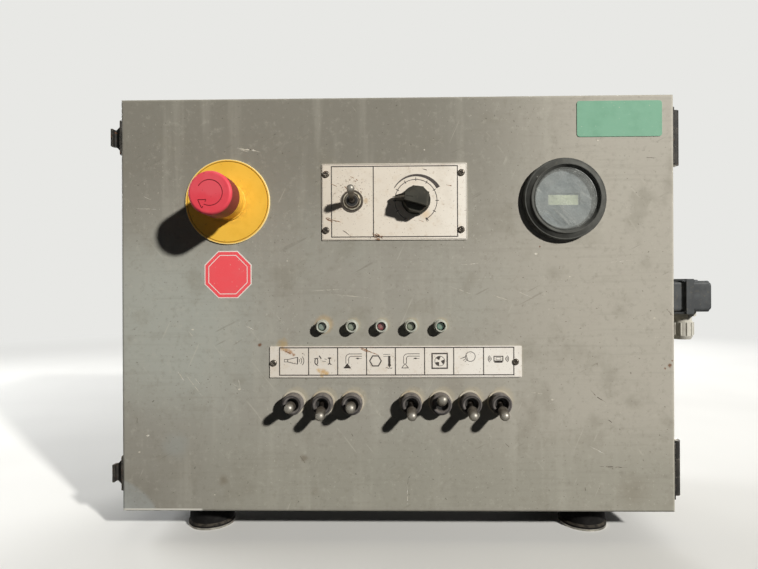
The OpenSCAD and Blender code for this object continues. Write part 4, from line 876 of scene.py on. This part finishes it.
# Scratches and dirt on the upper plate and the strip
PLATE_BROWN = [
    ((-71, 89.5), (-63, 86.5), (-56, 84.4)), ((-24, 73), (-18, 70), (-12.5, 67.6)),
    ((-23, 71), (-17, 69.4), (-13, 70.2)), ((-22, 68.6), (-16, 67.4)), ((-38, -43.6), (-29, -47), (-18, -51.6)),
    ((-36, -45.4), (-28, -48.6)), ((-116, -46), (-104, -52)), ((-66, 124), (-60, 121)), ((-46, 131), (-38, 127)),
    ((24, 86), (31, 83)), ((52, 122), (60, 120)), ((-71, 88.2), (-64, 84.6)), ((-20, 73), (-14, 69.6)),
    ((-21, 66.8), (-13, 66)), ((-45, 118), (-41, 114)), ((-52, 121), (-49, 118.4)),
]
PLATE_DARK = [
    ((-54, 76.2), (-47, 71)), ((-29.5, -43.5), (-20, -44.6)), ((-96, -49.6), (-94, -50.4)),
    ((-26, 68.9), (-24.6, 67.2)), ((28, 138), (34, 136.6)), ((-24, 71.8), (-19, 68.6)), ((-21, 72.2), (-16, 68.2)),
    ((-18, 71), (-13.4, 67.4)), ((-71.5, 88.9), (-66, 86.4)), ((-65, 86.8), (-60.5, 84.8)),
]


def rand(k):
    """Repeatable number from 0 to 1."""
    return math.modf(abs(math.sin(k * 12.9898 + 4.1) * 43758.5453))[0]


def scratches(soup, lines, width, seed, height=ON_PAINT):
    """Thin tapered lines that wander a little and break up."""
    place = at_height(height)
    for points in lines:
        path = []
        for (x0, y0), (x1, y1) in zip(points, points[1:]):
            steps = max(3, int(math.hypot(x1 - x0, y1 - y0) / 2.2))
            path += [(x0 + (x1 - x0) * k / steps, y0 + (y1 - y0) * k / steps) for k in range(steps)]
        path.append(points[-1])
        path = [(x + 0.5 * (rand(seed + 3 * k) - 0.5), y + 0.5 * (rand(seed + 7 * k + 1) - 0.5))
                for k, (x, y) in enumerate(path)]
        run = []
        for k, p in enumerate(path):
            taper = math.sin(math.pi * (k + 0.6) / (len(path) + 0.2))
            run.append((p, width * (0.25 + rand(seed + 5 * k)) * taper))
            ends_here = len(run) > 2 and rand(seed + 11 * k) > 0.72
            if ends_here or k == len(path) - 1 and len(run) > 1:
                soup.line([q[0] for q in run], [q[1] for q in run], place)
                run = []
        seed += 40


marks = Soup()
scratches(marks, LIGHT, 0.55, 0)
scratches(marks, WIDE, 1.5, 600, 0.04)
for k, (u, v, r) in enumerate(CHIPS):
    blob = [(u + r * (0.6 + 0.8 * rand(k * 17 + j)) * math.cos(j * math.pi / 5),
             v + r * 0.6 * (0.5 + rand(k * 19 + j)) * math.sin(j * math.pi / 5)) for j in range(10)]
    marks.polygon(blob, at_height(ON_PAINT))
marks.make("light_marks", printed("light_mark", (200, 193, 176)), "door")
marks = Soup()
scratches(marks, DARK, 0.8, 900)
marks.make("dark_marks", printed("dark_mark", (78, 70, 60)), "door")
marks = Soup()
scratches(marks, PLATE_BROWN, 1.15, 1700, ON_PLATE + 0.02)
marks.make("plate_brown_marks", printed("brown_mark", (130, 95, 66)), "door")
marks = Soup()
scratches(marks, PLATE_DARK, 0.9, 2400, ON_PLATE + 0.02)
marks.make("plate_dark_marks", printed("plate_dark", (70, 56, 46)), "door")

# Screws of the hinges, the latches and the connector
HINGE_Y, LATCH_Y, KEEPER_Y = -0.0905, -0.0815, -0.0971
CONNECTOR_Y, CONNECTOR_Z = -0.040, MID_Z + 0.006
heads, door_heads = Soup(), Soup()
for s in (-1, 1):
    for dz in (-19, 0, 19):
        z = MID_Z + s * HINGE_Z + dz * MM
        for soup, y in ((heads, HINGE_Y + 0.011), (door_heads, HINGE_Y - 0.011)):
            screw(soup, (HALF_W + 0.002, y, z), RIGHT, UP, 2.6, 1.3, 40 + 23 * dz + 50 * s)
    z = MID_Z + s * LATCH_Z
    for dz in (-5, 5):
        screw(heads, (-HALF_W - 0.0015, LATCH_Y, z + dz * MM), LEFT, UP, 2.2, 1.0, 15 + 9 * dz)
    for dz in (-11, 11):
        screw(door_heads, (-HALF_W - 0.0016, KEEPER_Y, z + dz * MM), LEFT, UP, 2.0, 1.0, 70 + 9 * dz)
for dy in (-34, 34):
    for dz in (-13, 13):
        at = (HALF_W + 0.006, CONNECTOR_Y + dy * MM, CONNECTOR_Z + dz * MM)
        screw(heads, at, RIGHT, UP, 2.4, 1.6, 5 * dy + dz)
fixing = steel("fixing_steel", (150, 146, 138), 0.38, rust=0.5)
heads.make("box_screws", fixing, "enclosure", smooth=True)
door_heads.make("door_screws", fixing, "door", smooth=True)


def trunking(name, z):
    """Slotted duct with a lid inside the box; z is the height of its middle."""
    soup = Soup()
    back, deep, high, wall, half = 0.0605, 0.034, 0.0125, 0.0016, 0.190
    front, base, fingers, filled = back - deep, back - 0.008, 38, 0.58
    for side in (-1, 1):
        zs = (z + side * (high - wall), z + side * high)
        for k in range(fingers):
            x = -half + 2 * half * k / fingers
            soup.block((x, x + 2 * half / fingers * filled), (front + 0.004, base), zs)
        soup.block((-half, half), (base, back), zs)
    lid = [(-high, 0.005), (-high, -0.0005), (-high + 0.0012, -0.0018), (high - 0.0012, -0.0018), (high, -0.0005),
           (high, 0.005), (high + 0.0012, 0.005), (high + 0.0012, -0.001), (high - 0.0006, -0.003),
           (-high + 0.0006, -0.003), (-high - 0.0012, -0.001), (-high - 0.0012, 0.005)]
    soup.loft(*([(x, front + y, z + w) for w, y in lid] for x in (-half, half)))
    soup.make(name, duct_look, "enclosure")


duct_look = plastic("duct_grey", (150, 153, 152), 0.5, (166, 168, 166), (110, 104, 92))
for name, z in (("duct_upper", MID_Z + 0.118), ("duct_middle", MID_Z - 0.002), ("duct_lower", MID_Z - 0.118)):
    trunking(name, z)

# Stage, light and camera
PALE = srgb(232, 232, 229)
floor_look = Look("floor", (228, 227, 223), 0.9, Specular_IOR_Level=0.0)
floor_look.paint(floor_look.span(floor_look.noise(3, 2), 0.4, 0.7), (224, 223, 219))
FLOOR_R, count = 12, 64
mesh = bpy.data.meshes.new("floor")
mesh.from_pydata([(FLOOR_R * math.cos(2 * math.pi * k / count), FLOOR_R * math.sin(2 * math.pi * k / count), 0)
                  for k in range(count)], [], [tuple(range(count))])
mesh.materials.append(floor_look.mat)
floor = bpy.data.objects.new("floor", mesh)
bpy.context.scene.collection.objects.link(floor)


def seen(tree):
    """1 for the rays that show the background: camera, glossy and transmission rays."""
    path = tree.nodes.new("ShaderNodeLightPath")
    total = path.outputs["Is Camera Ray"]
    for name in ("Is Glossy Ray", "Is Transmission Ray"):
        both = tree.nodes.new("ShaderNodeMath")
        both.operation = "MAXIMUM"
        tree.links.new(total, both.inputs[0])
        tree.links.new(path.outputs[name], both.inputs[1])
        total = both.outputs[0]
    return total


# The floor fades into the background away from the object, and throws little light back on it
showing = seen(floor_look.tree)
lighting = srgb(50, 52, 56)
floor_color = floor_look.put("Mix", {0: showing, 6: lighting, 7: floor_look.color}, out=2, data_type="RGBA")
floor_look.tree.links.new(floor_color, floor_look.shader.inputs["Base Color"])
far = floor_look.put("VectorMath", {0: floor_look.at, 1: (0, 0, 0)}, out="Value", operation="DISTANCE")
fade = floor_look.math("MULTIPLY", floor_look.span(far, 0.45, 2.6), showing)
pale = floor_look.put("Emission", {"Color": PALE, "Strength": 1.0})
floor_look.surface(floor_look.put("MixShader", {0: fade, 1: floor_look.shader.outputs[0], 2: pale}))

world = bpy.data.worlds.new("studio")
bpy.context.scene.world = world
world.use_nodes = True
tree = world.node_tree
light_back = tree.nodes["Background"]
seen_back = tree.nodes.new("ShaderNodeBackground")
for back, color, strength in ((light_back, (0.86, 0.94, 1.0, 1), 0.014), (seen_back, PALE, 1.0)):
    back.inputs[0].default_value = color
    back.inputs[1].default_value = strength
mix = tree.nodes.new("ShaderNodeMixShader")
tree.links.new(seen(tree), mix.inputs[0])
tree.links.new(light_back.outputs[0], mix.inputs[1])
tree.links.new(seen_back.outputs[0], mix.inputs[2])
tree.links.new(mix.outputs[0], tree.nodes["World Output"].inputs["Surface"])


def area(name, place, aim, size, power, color=(1, 1, 1)):
    """Round area lamp that the camera doesn't see."""
    data = bpy.data.lights.new(name, "AREA")
    data.shape, data.size, data.energy, data.color = "DISK", size, power, color
    lamp = bpy.data.objects.new(name, data)
    lamp.location = place
    lamp.rotation_mode = "QUATERNION"
    lamp.rotation_quaternion = (Vector(aim) - Vector(place)).to_track_quat("-Z", "Y")
    lamp.visible_camera = False
    bpy.context.scene.collection.objects.link(lamp)


area("key", (3.22, -3.59, 2.52), aim=(0.02, FACE_Y, MID_Z), size=0.3, power=365, color=(1.0, 0.985, 0.955))
area("left", (-1.8, 0.55, 0.9), aim=(-0.28, 0, MID_Z), size=1.2, power=27, color=(0.97, 0.985, 1.0))
area("back", (0.9, 2.2, 0.9), aim=(0, 0.1, MID_Z), size=1.8, power=52)
area("top", (-0.2, 0.85, 2.1), aim=(0, 0, 0.3), size=1.2, power=8)

# Camera where the photograph was taken: place in metres, turns in degrees, focal length and width in pixels
CAMERA_AT = (-0.00839, -0.64771, 0.26114)
CAMERA_TURNS = ((0.922, "Z"), (-0.013, "X"), (0.272, "Y"))
FOCAL, PICTURE_W = 526.54, 758
view = bpy.data.cameras.new("camera")
view.sensor_width = 36
view.lens = FOCAL / PICTURE_W * 36
view.clip_start = 0.02
camera = bpy.data.objects.new("camera", view)
turn = Matrix.Identity(3)
for degrees, about in CAMERA_TURNS:
    turn = turn @ Matrix.Rotation(math.radians(degrees), 3, about)
right, ahead, up = turn.col
camera.matrix_world = Matrix.Translation(CAMERA_AT) @ Matrix((right, up, -ahead)).transposed().to_4x4()
bpy.context.scene.collection.objects.link(camera)
bpy.context.scene.camera = camera
bpy.context.scene.view_settings.view_transform = "Standard"
